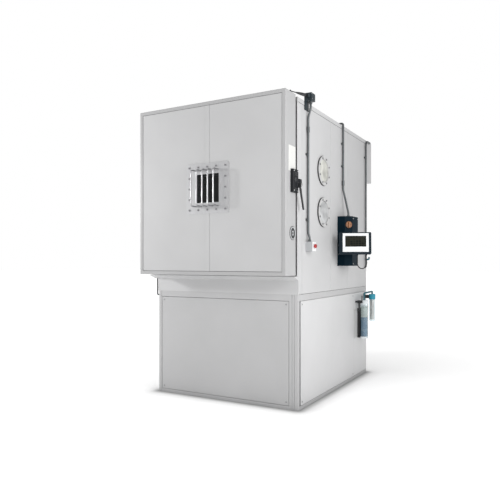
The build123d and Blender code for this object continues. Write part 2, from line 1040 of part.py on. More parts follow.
def door_switch():
    """Switch box on a plate at the roof's right edge, with the lever's pivot pin."""
    y = (front + switch_set_back, front + switch_set_back + switch_length)
    inner = right + sheet
    z = (roof + sheet, roof + sheet + switch_height)
    plate = block((inner, inner + switch_plate), y, (roof - 2 * trim_height, z[1]))
    box = block((inner + switch_plate, inner + switch_plate + switch_depth), y, z)
    pivot = switch_pivot()
    outer = inner + switch_plate + switch_depth / 2
    ear = block((outer, outer + switch_plate), (pivot[0] - wand_hub, y[0]),
                (pivot[1] - wand_hub, pivot[1] + wand_hub))
    pin = bar((outer - 2 * wand_hub, *pivot), (outer, *pivot), wand_radius)
    return [plate, box + ear + pin]


def door_switch_lever():
    """Long lever whose roller rests over the door's top edge."""
    pivot = switch_pivot()
    outer = right + sheet + switch_plate + switch_depth / 2
    hub_x = (outer - free_gap - wand_hub, outer - free_gap)
    hub = bar((hub_x[0], *pivot), (hub_x[1], *pivot), wand_hub)
    tip_z = door_top + roller_gap + roller_radius
    tip = (right - wand_tip_inside, front - wand_reach, tip_z)
    wand = bar(((hub_x[0] + hub_x[1]) / 2, pivot[0], pivot[1]), tip, wand_radius)
    roller = bar((tip[0] - roller_width / 2, tip[1], tip[2]), (tip[0] + roller_width / 2, tip[1], tip[2]),
                 roller_radius)
    lever = hub + wand + roller
    return [lever - bar((hub_x[0], *pivot), (outer, *pivot), wand_radius + running_gap)]


# Control enclosure

def enclosure_shape(inset):
    """Enclosure body with its chamfered corner, made smaller by an inset."""
    x = (right, right + control_depth - inset)
    y = (front + control_set_back + inset, front + control_set_back + control_length - inset)
    z = (control_bottom + inset, control_bottom + control_height - inset)
    body = block(x, y, z)
    uprights = body.edges().filter_by(Axis.Z).sort_by(Axis.X)[-2:].sort_by(Axis.Y)
    body = chamfer(uprights[0], control_chamfer - inset * (2 - 2 ** 0.5))
    rear_upright = body.edges().filter_by(Axis.Z).sort_by(Axis.Y)[-2:].sort_by(Axis.X)[-1]
    return fillet(rear_upright, control_round - inset)


def knob_place():
    """Plane on the middle of the chamfer, facing outwards."""
    x = right + control_depth - control_chamfer / 2
    y = front + control_set_back + control_chamfer / 2
    return Plane(origin=(x, y, knob_height), x_dir=(0, 0, 1), z_dir=(1, -1, 0))


def control_enclosure():
    """Control enclosure, open to the wall, with the hole for the knob's shaft."""
    hole = knob_place() * Cylinder(knob_shaft + free_gap, 4 * control_wall)
    return [enclosure_shape(0) - enclosure_shape(control_wall) - hole]


def disconnect_knob():
    """Round rotary knob with a grip bar and its shaft."""
    place = knob_place()
    disc = place * Pos(0, 0, free_gap + knob_depth / 2) * Cylinder(knob_radius, knob_depth)
    grip = place * Pos(0, 0, free_gap + knob_depth * 1.5) * Box(
        2 * knob_radius - knob_depth, knob_grip, knob_depth)
    shaft = place * Pos(0, 0, free_gap - 2 * knob_depth / 2) * Cylinder(knob_shaft, 2 * knob_depth)
    return [disc + grip + shaft]


# Monitor

def arm_pivot():
    """X and Y of the arm's upright pivot."""
    return (right + control_depth + arm_off, front + control_set_back + arm_along)


def head_place():
    """Location of the monitor's tilt axis, turned to face the user."""
    x, y = arm_pivot()
    return Pos(x + arm_side_step, y - arm_reach, arm_height) * Rot(0, 0, monitor_turn)


def monitor_place():
    """Location of the middle of the monitor's face."""
    return head_place() * Rot(-monitor_lean, 0, 0) * Pos(0, -tilt_back - face_depth - housing_depth, 0)


def arm_bracket():
    """Pivot bracket of the arm, on the side of the enclosure."""
    x, y = arm_pivot()
    face = right + control_depth
    plate = block((face, face + bracket_plate), (y - bracket_width / 2, y + bracket_width / 2),
                  (arm_height - bracket_height / 2, arm_height + bracket_height / 2))
    half = arm_knuckle_height / 2
    bracket = plate
    for start in (arm_height + half, arm_height - half - bracket_ear):
        ear = bar((x, y, start), (x, y, start + bracket_ear), arm_knuckle)
        ear += block((face, x), (y - arm_knuckle, y + arm_knuckle), (start, start + bracket_ear))
        bracket += ear
    pin = bar((x, y, arm_height - half - bracket_ear), (x, y, arm_height + half + bracket_ear), arm_pin)
    return [bracket + pin]


def monitor_arm():
    """Arm from the pivot to the fork that carries the monitor."""
    x, y = arm_pivot()
    half = arm_knuckle_height / 2 - free_gap
    knuckle = bar((x, y, arm_height - half), (x, y, arm_height + half), arm_knuckle)
    place = head_place()
    fork_out = tilt_lug / 2 + free_gap + tilt_ear_width
    ear = Pos(tilt_lug / 2 + free_gap + tilt_ear_width / 2, 0, 0) * (
        Rot(0, 90, 0) * Cylinder(tilt_ear, tilt_ear_width)
        + Pos(0, tilt_ear, 0) * Box(tilt_ear_width, 2 * tilt_ear, 2 * tilt_ear))
    bridge = block((-fork_out, fork_out), (tilt_ear + 2, 2 * tilt_ear + 4), (-tilt_ear, tilt_ear))
    pin = Rot(0, 90, 0) * Cylinder(tilt_pin, 2 * fork_out)
    fork = ear + mirror(ear, Plane.YZ) + bridge + pin
    end = place * Pos(0, 2 * tilt_ear, 0)
    run = Vector(x, y, arm_height) - end.position
    turn = degrees(atan(-run.X / run.Y))
    link = Pos(*end.position) * Rot(0, 0, turn) * block(
        (-arm_width / 2, arm_width / 2), (0, run.length), (-arm_thickness / 2, arm_thickness / 2))
    arm = place * fork + link + knuckle
    return [arm - bar((x, y, arm_height - half), (x, y, arm_height + half), arm_pin + running_gap)]


def housing_ranges():
    """Ranges of the monitor housing in the monitor's own frame."""
    x = (-housing_width / 2 - housing_left, housing_width / 2 - housing_left)
    z = (-housing_height / 2 - housing_down, housing_height / 2 - housing_down)
    return x, (face_depth, face_depth + housing_depth), z


def monitor_housing():
    """Dark housing with the tilt lug and two cable glands below."""
    x, y, z = housing_ranges()
    body = block(x, y, z)
    body = fillet(body.edges().filter_by(Axis.Y) + body.edges().group_by(Axis.Y)[-1], housing_round)
    axis_y = y[1] + tilt_back
    lug = block((-tilt_lug / 2, tilt_lug / 2), (y[1], axis_y), (-tilt_ear, tilt_ear))
    lug += Pos(0, axis_y, 0) * Rot(0, 90, 0) * Cylinder(tilt_ear, tilt_lug)
    lug -= Pos(0, axis_y, 0) * Rot(0, 90, 0) * Cylinder(tilt_pin + running_gap, tilt_lug)
    housing = body + lug
    for point in (CABLE_ROUTE[0], CABLE_ROUTE[-1]):
        housing += bar(point, (point[0], point[1], z[0]), gland_radius)
    return [monitor_place() * housing]


def monitor_bezel():
    """Light face plate around the screen."""
    plate = block((-face_width / 2, face_width / 2), (0, face_depth), (-face_height / 2, face_height / 2))
    return [monitor_place() * (plate - screen_block(0, face_depth))]


def screen_block(start, end):
    """Block of the screen's outline in the monitor's own frame."""
    z = (screen_up - screen_height / 2, screen_up + screen_height / 2)
    return block((-screen_width / 2, screen_width / 2), (start, end), z)


def monitor_screen():
    """Dark display behind the face plate's opening."""
    return [monitor_place() * screen_block(screen_recess, face_depth)]


# Route of the cable loop in the monitor's own frame, from gland to gland
CABLE_ROUTE = [
    (94, 30, -113), (94, 30, -146), (99, 30, -184), (88, 28, -218), (58, 27, -234),
    (28, 29, -222), (13, 31, -188), (16, 30, -150), (16, 30, -113)]


def corner_radii(points):
    """Largest smooth radius at each corner of a cord's route."""
    route = [Vector(*point) for point in points]
    radii = []
    for before, corner, after in zip(route, route[1:], route[2:]):
        run_in = corner - before
        run_out = after - corner
        turn = radians(run_in.get_angle(run_out))
        radii.append(0.45 * min(run_in.length, run_out.length) / tan(turn / 2))
    return radii


def monitor_cable():
    """Cable loop that hangs below the monitor."""
    radii = corner_radii(CABLE_ROUTE)
    print("monitor cable radii", [round(radius) for radius in radii])
    return [monitor_place() * bent_bar(CABLE_ROUTE, radii, cable_radius)]


# Water filters

def filter_axis():
    """X and Y of the resin cartridge."""
    return (right + cartridge_off, back - cartridge_forward)


def bowl_axis():
    """X and Y of the clear bowl."""
    return (right + bowl_off, back - bowl_forward)


def filter_bracket():
    """Channel behind the cartridge and the arm that carries the bowl's head."""
    x, y = filter_axis()
    channel = block((right, x - cartridge_radius), (y - bracket_strip / 2, y + bracket_strip / 2),
                    (bracket_foot, bracket_top))
    bowl_x, bowl_y = bowl_axis()
    arm = block((right, bowl_x - bowl_radius), (bowl_y - bracket_strip / 3, bowl_y + bracket_strip / 3),
                (bowl_top + cap_height / 2, bowl_top + bowl_head_height - cap_height / 2))
    return [channel, arm]


def filter_cartridge():
    """Clear tube of the resin cartridge."""
    x, y = filter_axis()
    ends = ((x, y, cartridge_bottom), (x, y, cartridge_bottom + cartridge_height))
    return [ring(*ends, cartridge_radius, cartridge_radius - filter_wall)]


def filter_media():
    """Resin in the cartridge and the white element in the bowl."""
    x, y = filter_axis()
    resin = bar((x, y, cartridge_bottom), (x, y, cartridge_bottom + resin_height),
                cartridge_radius - filter_wall - filter_fit)
    bowl_x, bowl_y = bowl_axis()
    element_bottom = bowl_top - bowl_height + bowl_round
    element = bar((bowl_x, bowl_y, element_bottom), (bowl_x, bowl_y, bowl_top), element_radius)
    return [resin, element]


def filter_bowl():
    """Clear bowl with a rounded bottom."""
    x, y = bowl_axis()
    bottom = bowl_top - bowl_height
    outer = bar((x, y, bottom), (x, y, bowl_top), bowl_radius)
    outer = fillet(outer.edges().filter_by(GeomType.CIRCLE).sort_by(Axis.Z)[0], bowl_round)
    hollow = bar((x, y, bottom + filter_wall), (x, y, bowl_top), bowl_radius - filter_wall)
    inner_edge = hollow.edges().filter_by(GeomType.CIRCLE).sort_by(Axis.Z)[0]
    return [outer - fillet(inner_edge, bowl_round - filter_wall)]


def filter_heads():
    """Caps of the cartridge and head of the bowl."""
    x, y = filter_axis()
    top = cartridge_bottom + cartridge_height
    cap = bar((x, y, cartridge_bottom - cap_height), (x, y, cartridge_bottom), cartridge_radius)
    head = bar((x, y, top), (x, y, top + head_height), cartridge_radius)
    bowl_x, bowl_y = bowl_axis()
    crown = bar((bowl_x, bowl_y, bowl_top), (bowl_x, bowl_y, bowl_top + bowl_head_height), bowl_radius)
    return [cap, head, crown]


def water_pipes():
    """Inlet pipe with the valve body, the bridge between the filters and the purge elbow."""
    x, y = filter_axis()
    bowl_x, bowl_y = bowl_axis()
    valve = (right + valve_off, back - valve_forward)
    head_top = cartridge_bottom + cartridge_height + head_height
    crown_top = bowl_top + bowl_head_height
    shoulder = inlet_bottom + inlet_thread_length
    inlet = bar((*valve, shoulder), (*valve, valve_height), pipe_radius)
    inlet += bar((*valve, inlet_bottom), (*valve, shoulder), inlet_thread)
    inlet += bar((valve[0] - valve_length / 2, valve[1], valve_height),
                 (valve[0] + valve_length / 2, valve[1], valve_height), valve_radius)
    reach = bar((*valve, valve_height), (valve[0], y, valve_height), pipe_radius)
    reach -= bar((x, y, valve_height - cartridge_radius), (x, y, valve_height + cartridge_radius),
                 cartridge_radius)
    seat = block((right, valve[0]), (valve[1] - pipe_radius, valve[1] + pipe_radius),
                 (valve_height - pipe_radius, valve_height + pipe_radius))
    inlet += reach + seat
    inlet -= bar((valve[0], valve[1], valve_height),
                 (valve[0] + valve_length, valve[1], valve_height), valve_stem + running_gap)
    bend = pipe_radius * 1.6
    bridge = bent_bar([(x, y, head_top), (x, y, pipe_height), (bowl_x, bowl_y, pipe_height + pipe_radius),
                       (bowl_x, bowl_y, crown_top)], [bend, bend / 2], pipe_radius)
    purge_y = back - purge_forward
    elbow = bent_bar([(right, purge_y, purge_height), (right + purge_reach, purge_y, purge_height),
                      (right + purge_reach, purge_y, purge_height + purge_rise)],
                     purge_radius * 1.5, purge_radius)
    return [inlet, bridge, elbow]


def filter_valve_handle():
    """Quarter-turn handle of the water valve."""
    x = right + valve_off + valve_length / 2 + free_gap
    y = back - valve_forward
    hub = bar((x, y, valve_height), (x + handle_depth * 2, y, valve_height), handle_hub)
    stem = bar((x - valve_length / 3, y, valve_height), (x, y, valve_height), valve_stem)
    blade = block((x + handle_depth, x + 2 * handle_depth), (y - handle_width / 2, y + handle_width / 2),
                  (valve_height, valve_height + handle_length))
    return [hub + stem + blade]


# Door

def window_block(clearance, y):
    """Block of the window opening, made larger by a clearance."""
    half_x = glass_width / 2 + clearance
    half_z = glass_height / 2 + clearance
    return block((door_middle - half_x, door_middle + half_x), y, (window_z - half_z, window_z + half_z))


def door_inside(gap):
    """X and Z ranges inside the door's edge frame."""
    margin = edge_width + gap
    return (door_left + margin, door_right - margin), (door_bottom + margin, door_top - margin)


def door_edge_frame():
    """Deep edge frame of the door, rounded at the front."""
    x, z = door_inside(0)
    y = (door_front - edge_proud, door_rear)
    frame = block((door_left, door_right), y, (door_bottom, door_top))
    corners = frame.edges().filter_by(Axis.Y) + frame.edges().group_by(Axis.Y)[0]
    return [fillet(corners, edge_round) - block(x, y, z)]


def door_skin():
    """Front sheet of the door and the centre batten above and below the window."""
    x, z = door_inside(door_groove)
    y = (door_front, door_front + sheet)
    skin = block(x, y, z) - window_block(tunnel_wall, y)
    batten_x = (door_middle - batten_width / 2, door_middle + batten_width / 2)
    batten_y = (door_front - edge_proud, door_front)
    half = window_plate / 2
    battens = [block(batten_x, batten_y, (z[0], window_z - half)),
               block(batten_x, batten_y, (window_z + half, z[1]))]
    return [skin] + battens


def plug_ranges(inset):
    """X and Z ranges of the door's raised inner plug."""
    half = inside - plug_gap - inset
    return (-half, half), (inside_floor + plug_gap + inset, inside_top - plug_gap - inset)


def door_foam():
    """Foam inside the door and inside its plug."""
    x, z = door_inside(0)
    y = (door_front + sheet, door_rear - sheet)
    core = block(x, y, z) - window_block(tunnel_wall, y)
    plug_x, plug_z = plug_ranges(sheet)
    plug_y = (door_rear - sheet, door_rear + plug_depth - sheet)
    plug = block(plug_x, plug_y, plug_z) - window_block(tunnel_wall, plug_y)
    return [core, plug]


def door_inner_panel():
    """Inner sheet of the door with its raised plug."""
    x, z = door_inside(0)
    plug_x, plug_z = plug_ranges(0)
    rear = door_rear + plug_depth
    panel = block(x, (door_rear - sheet, door_rear), z) + block(plug_x, (door_rear, rear), plug_z)
    hollow_x, hollow_z = plug_ranges(sheet)
    panel -= block(hollow_x, (door_rear - sheet, rear - sheet), hollow_z)
    return [panel - window_block(tunnel_wall, (door_rear - sheet, rear))]


def door_gasket():
    """Thick seal between the door and the jamb."""
    y = (door_rear, jamb_front - free_gap)
    x = (left + gasket_inset, right - gasket_inset)
    z = (inside_floor - wall + gasket_inset, inside_top + wall - gasket_inset)
    outer = block(x, y, z)
    outer = fillet(outer.edges().filter_by(Axis.Y) + outer.edges().group_by(Axis.Y)[-1], gasket_round)
    inner = block((x[0] + gasket_width, x[1] - gasket_width), y, (z[0] + gasket_width, z[1] - gasket_width))
    return [outer - inner]


def window_frame():
    """Bolted front plate with the tunnel through the door, and the inner trim plate."""
    half = window_plate / 2
    plate = block((door_middle - half, door_middle + half), (door_front - plate_depth, door_front),
                  (window_z - half, window_z + half))
    plate = fillet(plate.edges().filter_by(Axis.Y), plate_corner)
    rear = door_rear + plug_depth
    tunnel = window_block(tunnel_wall, (door_front, rear))
    frame = plate + tunnel - window_block(0, (door_front - plate_depth, rear))
    inner_y = (rear, rear + plate_depth)
    trim = window_block(edge_width, inner_y) - window_block(0, inner_y)
    return [frame, trim]


def window_panes():
    """Three panes of the heated window."""
    starts = [door_front + pane, (door_front + door_rear + plug_depth) / 2, door_rear + plug_depth - 2 * pane]
    return [window_block(0, (start, start + pane)) for start in starts]


def guard_rod(x):
    """One bent rod of the window guard."""
    face = door_front - plate_depth
    half = guard_height / 2 - rod_radius
    out = face - guard_reach + rod_radius
    return bent_bar([(x, face, window_z + half), (x, out, window_z + half), (x, out, window_z - half),
                     (x, face, window_z - half)], rod_bend, rod_radius)


def window_guard():
    """Row of bent rods in front of the window."""
    first = door_middle - rod_pitch * (rod_count - 1) / 2
    return [guard_rod(first + step * rod_pitch) for step in range(rod_count)]


def window_bolts():
    """Bolts around the window plate."""
    face = door_front - plate_depth
    pitch = bolt_square / (bolts_per_side - 1)
    steps = [step * pitch - bolt_square / 2 for step in range(bolts_per_side)]
    edge = bolt_square / 2
    places = [(x, z) for x in steps for z in steps if edge in (abs(x), abs(z))]
    return [bolt_head((door_middle + x, face, window_z + z), (0, -1, 0), bolt_radius, bolt_height)
            for x, z in places]


# Latch

def lever_pivot():
    """Y and Z of the latch lever's pivot."""
    return (door_rear - lever_hub / 2, window_z + latch_above_middle - lever_drop)


def latch_body():
    """Latch casting on the door's edge, with its nose and the lever's boss and shaft."""
    middle = window_z + latch_above_middle
    y = (door_rear - latch_length, door_rear)
    face = door_right + latch_depth
    body = block((door_right, face), y, (middle - latch_height / 2, middle + latch_height / 2))
    body = fillet(body.edges().group_by(Axis.X)[-1], latch_round)
    nose = block((door_right, door_right + latch_depth / 2), (door_rear, jamb_front - 2 * free_gap),
                 (middle - bolt_nose / 2, middle + bolt_nose / 2))
    pivot = lever_pivot()
    boss = bar((door_right, *pivot), (face + boss_depth, *pivot), lever_hub)
    shaft_end = face + boss_depth + 2 * lever_depth
    shaft = bar((face, *pivot), (shaft_end, *pivot), lever_shaft)
    return [body + nose + boss + shaft]


def latch_lever():
    """Long lever that hangs from the latch."""
    pivot = lever_pivot()
    start = door_right + latch_depth + boss_depth + free_gap
    hub_depth = 1.5 * lever_depth
    outline = Polyline((-lever_width / 2, 0), (-lever_end_width / 2, -lever_length),
                       (lever_end_width / 2, -lever_length), (lever_width / 2, 0), close=True)
    arm_face = Plane(origin=(start, 0, 0), x_dir=(0, 1, 0), z_dir=(1, 0, 0)) * make_face(outline)
    arm = extrude(arm_face, lever_depth)
    arm = fillet(arm.edges().filter_by(Axis.X).sort_by(Axis.Z)[:2], lever_end_width / 3)
    arm += bar((start, 0, 0), (start + hub_depth, 0, 0), lever_hub)
    arm -= bar((start, 0, 0), (start + hub_depth, 0, 0), lever_shaft + running_gap)
    return [Pos(0, *pivot) * Rot(lever_lean, 0, 0) * arm]


def latch_strike():
    """Keeper of the latch on the cabinet's side."""
    middle = window_z + latch_above_middle
    keeper = block((right, right + strike_depth), (jamb_front, jamb_front + strike_length),
                   (middle - strike_height / 2, middle + strike_height / 2))
    return [fillet(keeper.edges().group_by(Axis.X)[-1], latch_round)]


# Hinges

def hinge_heights():
    """Heights of the three hinges."""
    return (door_bottom + hinge_inset, window_z, door_top - hinge_inset)


def cabinet_hinge_leaves():
    """Lower hinge halves on the cabinet, with their pins."""
    leaves = []
    for z in hinge_heights():
        span = (z - knuckle_height, z)
        plate_x = (left - leaf, left)
        plate = block(plate_x, (jamb_front, jamb_front + leaf_length), span)
        web = block((hinge_x - knuckle_radius / 2, left), (hinge_y + leaf, jamb_front + 2 * leaf), span)
        knuckle = bar((hinge_x, hinge_y, span[0]), (hinge_x, hinge_y, span[1]), knuckle_radius)
        clear = block((left, right), (hinge_y, jamb_front), span)
        pin = bar((hinge_x, hinge_y, span[0]), (hinge_x, hinge_y, z + knuckle_height), pin_radius)
        leaves.append(plate + (web - clear) + knuckle + pin)
    return leaves


def door_hinge_leaves():
    """Upper hinge halves on the door's left edge."""
    leaves = []
    for z in hinge_heights():
        span = (z + free_gap, z + knuckle_height)
        plate_y = (door_rear - door_leaf_length - leaf, door_rear - leaf)
        plate = block((door_left - leaf, door_left), plate_y, span)
        web = block((hinge_x - knuckle_radius / 2, door_left - leaf), (door_rear - 4 * leaf, hinge_y), span)
        knuckle = bar((hinge_x, hinge_y, span[0]), (hinge_x, hinge_y, span[1]), knuckle_radius)
        bore = bar((hinge_x, hinge_y, span[0]), (hinge_x, hinge_y, span[1]), pin_radius + running_gap)
        leaves.append(plate + web + knuckle - bore)
    return leaves


def upper_port_plug():
    """Plug of the upper port."""
    return port_plug(max(port_heights))


def lower_port_plug():
    """Plug of the lower port."""
    return port_plug(min(port_heights))


PIECES = [
    base_frame, base_surround, front_base_panel, side_base_panels, rear_grille_panel, panel_screws,
    compressors, condenser, refrigerant_lines,
    wall_skins, roof_cap, insulation, liner, door_jamb, drip_sill, sill_drain_pipe,
    air_baffle, evaporator_coil, heater_elements, blower_wheel, blower_motor, rear_cover, shelf,
    port_sleeves, upper_port_plug, lower_port_plug, conduits,
    estop_box, estop_button, door_switch, door_switch_lever,
    control_enclosure, disconnect_knob, arm_bracket, monitor_arm,
    monitor_housing, monitor_bezel, monitor_screen, monitor_cable,
    filter_bracket, filter_cartridge, filter_media, filter_bowl, filter_heads, water_pipes,
    filter_valve_handle,
    door_edge_frame, door_skin, door_foam, door_inner_panel, door_gasket,
    window_frame, window_panes, window_guard, window_bolts,
    latch_body, latch_lever, latch_strike, cabinet_hinge_leaves, door_hinge_leaves]

os.makedirs("parts", exist_ok=True)
for piece in PIECES:
    save(piece.__name__, piece())
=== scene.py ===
import json
import math
import bmesh
import bpy
from mathutils import Matrix, Vector


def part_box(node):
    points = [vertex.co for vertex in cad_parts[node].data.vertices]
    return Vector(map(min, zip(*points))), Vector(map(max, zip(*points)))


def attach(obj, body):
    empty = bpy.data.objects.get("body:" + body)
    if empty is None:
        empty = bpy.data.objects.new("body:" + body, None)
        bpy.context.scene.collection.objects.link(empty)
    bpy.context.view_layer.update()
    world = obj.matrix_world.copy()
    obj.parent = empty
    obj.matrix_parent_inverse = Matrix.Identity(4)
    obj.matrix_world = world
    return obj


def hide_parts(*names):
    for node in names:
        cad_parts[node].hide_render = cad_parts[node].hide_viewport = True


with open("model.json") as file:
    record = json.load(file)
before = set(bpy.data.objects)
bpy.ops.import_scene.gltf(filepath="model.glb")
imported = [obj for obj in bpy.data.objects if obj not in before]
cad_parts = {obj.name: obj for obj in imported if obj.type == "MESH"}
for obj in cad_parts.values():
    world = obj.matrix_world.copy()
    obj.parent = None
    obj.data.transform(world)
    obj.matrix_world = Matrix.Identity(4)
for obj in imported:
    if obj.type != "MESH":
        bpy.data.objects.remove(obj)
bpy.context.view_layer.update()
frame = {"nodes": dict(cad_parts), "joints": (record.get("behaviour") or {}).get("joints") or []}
nodes = frame["nodes"]
joints = {joint["name"]: joint for joint in frame["joints"]}
scene = bpy.context.scene

OUTWARD = (1, 0, 0)
UP = (0, 0, 1)
WHITE = (1.0, 1.0, 1.0, 1.0)

# Camera

CAMERA_PLACE = (2.462, -4.785, 1.178)
CAMERA_HEADING = 29.4
SENSOR_WIDTH = 36
LENS = 38.92
VIEW_RISE = 0.024

camera_data = bpy.data.cameras.new("camera")
camera = bpy.data.objects.new("camera", camera_data)
scene.collection.objects.link(camera)
camera.location = CAMERA_PLACE
camera.rotation_euler = (math.radians(90), 0, math.radians(CAMERA_HEADING))
camera_data.sensor_width = SENSOR_WIDTH
camera_data.lens = LENS
camera_data.shift_y = VIEW_RISE
scene.camera = camera


# Materials


def shade(color, factor):
    """Colour made lighter or darker."""
    return tuple(min(1.0, max(0.0, channel * factor)) for channel in color)


class Surface:
    """Node material built up step by step, on coordinates of the row frame."""

    SOCKETS = {"metal": "Metallic", "rough": "Roughness", "specular": "Specular IOR Level",
               "coat": "Coat Weight", "through": "Transmission Weight", "ior": "IOR"}

    def __init__(self, name):
        self.material = bpy.data.materials.new(name)
        self.material.use_nodes = True
        self.tree = self.material.node_tree
        self.shader = self.tree.nodes["Principled BSDF"]
        self.where = self.node("ShaderNodeTexCoord").outputs["Object"]

    def node(self, kind, inputs=None, **settings):
        """New node. An input takes a value, or a link from another node's output."""
        made = self.tree.nodes.new(kind)
        for key, value in settings.items():
            setattr(made, key, value)
        for key, value in (inputs or {}).items():
            if isinstance(value, bpy.types.NodeSocket):
                self.tree.links.new(value, made.inputs[key])
            else:
                made.inputs[key].default_value = value
        return made

    def stretched(self, scale):
        """Coordinates scaled by a different amount along each axis."""
        return self.node("ShaderNodeMapping", {"Vector": self.where, "Scale": scale}).outputs["Vector"]

    def noise(self, scale, detail, where=None, roughness=0.5):
        """Smooth random value from 0 to 1."""
        inputs = {"Vector": where or self.where, "Scale": scale, "Detail": detail, "Roughness": roughness}
        return self.node("ShaderNodeTexNoise", inputs).outputs["Fac"]

    def ramp(self, value, stops):
        """Colour that follows a value, from (value, colour) stops."""
        ramp = self.node("ShaderNodeValToRGB", {"Fac": value})
        elements = ramp.color_ramp.elements
        while len(elements) < len(stops):
            elements.new(0.5)
        for element, (position, color) in zip(elements, stops):
            element.position = position
            element.color = (*color, 1.0)
        return ramp.outputs["Color"]

    def tones(self, value, color, spread, start=0.3, end=0.7):
        """Colour that goes from darker to lighter between two values."""
        return self.ramp(value, [(start, shade(color, 1 - spread)), (end, shade(color, 1 + spread))])

    def zone(self, axis, limit, absolute=False):
        """1 where a coordinate, or its size without the sign, lies above a limit, else 0."""
        value = self.node("ShaderNodeSeparateXYZ", {"Vector": self.where}).outputs[axis]
        if absolute:
            value = self.node("ShaderNodeMath", {0: value}, operation="ABSOLUTE").outputs["Value"]
        return self.node("ShaderNodeMath", {0: value, 1: limit}, operation="GREATER_THAN").outputs["Value"]

    def choose(self, factor, below, above):
        """Colour below where the factor is 0, and above where it is 1."""
        mix = self.node("ShaderNodeMix", {"Factor": factor}, data_type="RGBA")
        colors = [socket for socket in mix.inputs if socket.type == "RGBA"]
        self.tree.links.new(below, colors[0])
        self.tree.links.new(above, colors[1])
        return [socket for socket in mix.outputs if socket.type == "RGBA"][0]

    def colored(self, color):
        """Base colour from a node's output."""
        self.tree.links.new(color, self.shader.inputs["Base Color"])

    def gloss(self, value, low, high):
        """Roughness that follows a value from 0 to 1."""
        change = self.node("ShaderNodeMapRange", {"Value": value, "To Min": low, "To Max": high})
        self.tree.links.new(change.outputs["Result"], self.shader.inputs["Roughness"])

    def bump(self, height, strength, distance, edge=0.0):
        """Bump, over edges softened by a radius where one is given."""
        bump = self.node("ShaderNodeBump", {"Height": height, "Strength": strength, "Distance": distance})
        if edge:
            bevel = self.node("ShaderNodeBevel", {"Radius": edge}, samples=4)
            self.tree.links.new(bevel.outputs["Normal"], bump.inputs["Normal"])
        self.tree.links.new(bump.outputs["Normal"], self.shader.inputs["Normal"])

    def put(self, **values):
        """Single values of the shader."""
        for key, value in values.items():
            self.shader.inputs[self.SOCKETS[key]].default_value = value


def coated(name, color, rough=0.42, spread=0.03, patch=2.2, edge=0.0018, **more):
    """Paint or moulded plastic: slow tone change, fine skin, varied gloss."""
    surface = Surface(name)
    surface.colored(surface.tones(surface.noise(scale=patch, detail=3.0), color, spread))
    surface.gloss(surface.noise(scale=7 * patch, detail=2.0), rough - 0.06, rough + 0.06)
    surface.bump(surface.noise(scale=520.0, detail=1.0), strength=0.06, distance=0.0006, edge=edge)
    surface.put(**more)
    return surface.material


def brushed(name, color, rough, along=(6.0, 6.0, 420.0), edge=0.001, strength=0.08, metal=1.0):
    """Metal with fine lines, or with fine grain where the three scales are equal."""
    surface = Surface(name)
    lines = surface.noise(scale=1.0, detail=3.0, where=surface.stretched(along), roughness=0.65)
    surface.colored(surface.tones(lines, color, spread=0.08, start=0.25, end=0.75))
    surface.gloss(lines, rough - 0.08, rough + 0.1)
    surface.bump(lines, strength, distance=0.0004, edge=edge)
    surface.put(metal=metal)
    return surface.material


def cast(name, color, rough, grain=900.0, strength=0.25, edge=0.0012, spread=0.12, **more):
    """Casting, rubber or foam with a grainy skin."""
    surface = Surface(name)
    grit = surface.noise(scale=grain, detail=3.0, roughness=0.7)
    surface.colored(surface.tones(surface.noise(scale=11.0, detail=2.0), color, spread))
    surface.gloss(grit, rough - 0.08, rough + 0.12)
    surface.bump(grit, strength, distance=0.0008, edge=edge)
    surface.put(**more)
    return surface.material


def clear(name, color, rough, haze):
    """Glass or clear plastic with faint ripples."""
    surface = Surface(name)
    surface.colored(surface.ramp(surface.noise(scale=9.0, detail=2.0),
                                 [(0.2, shade(color, 0.96)), (0.8, shade(color, 1.03))]))
    surface.gloss(surface.noise(scale=40.0, detail=2.0), rough, rough + haze)
    surface.bump(surface.noise(scale=25.0, detail=1.0), strength=0.04, distance=0.001)
    surface.put(through=1.0, ior=1.47)
    return surface.material


def zoned(name, below, above, axis, limit, absolute=False, rough=0.34, grain=300.0, strength=0.15,
          edge=0.001):
    """Two moulded tones in one node, split where a coordinate passes a limit."""
    surface = Surface(name)
    slow = surface.noise(scale=12.0, detail=3.0)
    tones = [surface.tones(slow, color, spread=0.08) for color in (below, above)]
    surface.colored(surface.choose(surface.zone(axis, limit, absolute), *tones))
    surface.gloss(surface.noise(scale=30.0, detail=2.0), rough - 0.06, rough + 0.08)
    surface.bump(surface.noise(scale=grain, detail=2.0), strength, distance=0.0006, edge=edge)
    return surface.material


def granular(name, beads, wound=None):
    """Beads packed together, and in the rear filter the smooth wound element."""
    surface = Surface(name)
    cells = surface.node("ShaderNodeTexVoronoi", {"Vector": surface.where, "Scale": 420.0})
    mixed = surface.noise(scale=30.0, detail=4.0)
    color = surface.ramp(mixed, beads)
    if wound:
        element = surface.ramp(mixed, wound)
        color = surface.choose(surface.zone("Y", BETWEEN_FILTERS), color, element)
    surface.colored(color)
    surface.bump(cells.outputs["Distance"], strength=0.6, distance=0.002)
    surface.put(rough=0.5)
    return surface.material


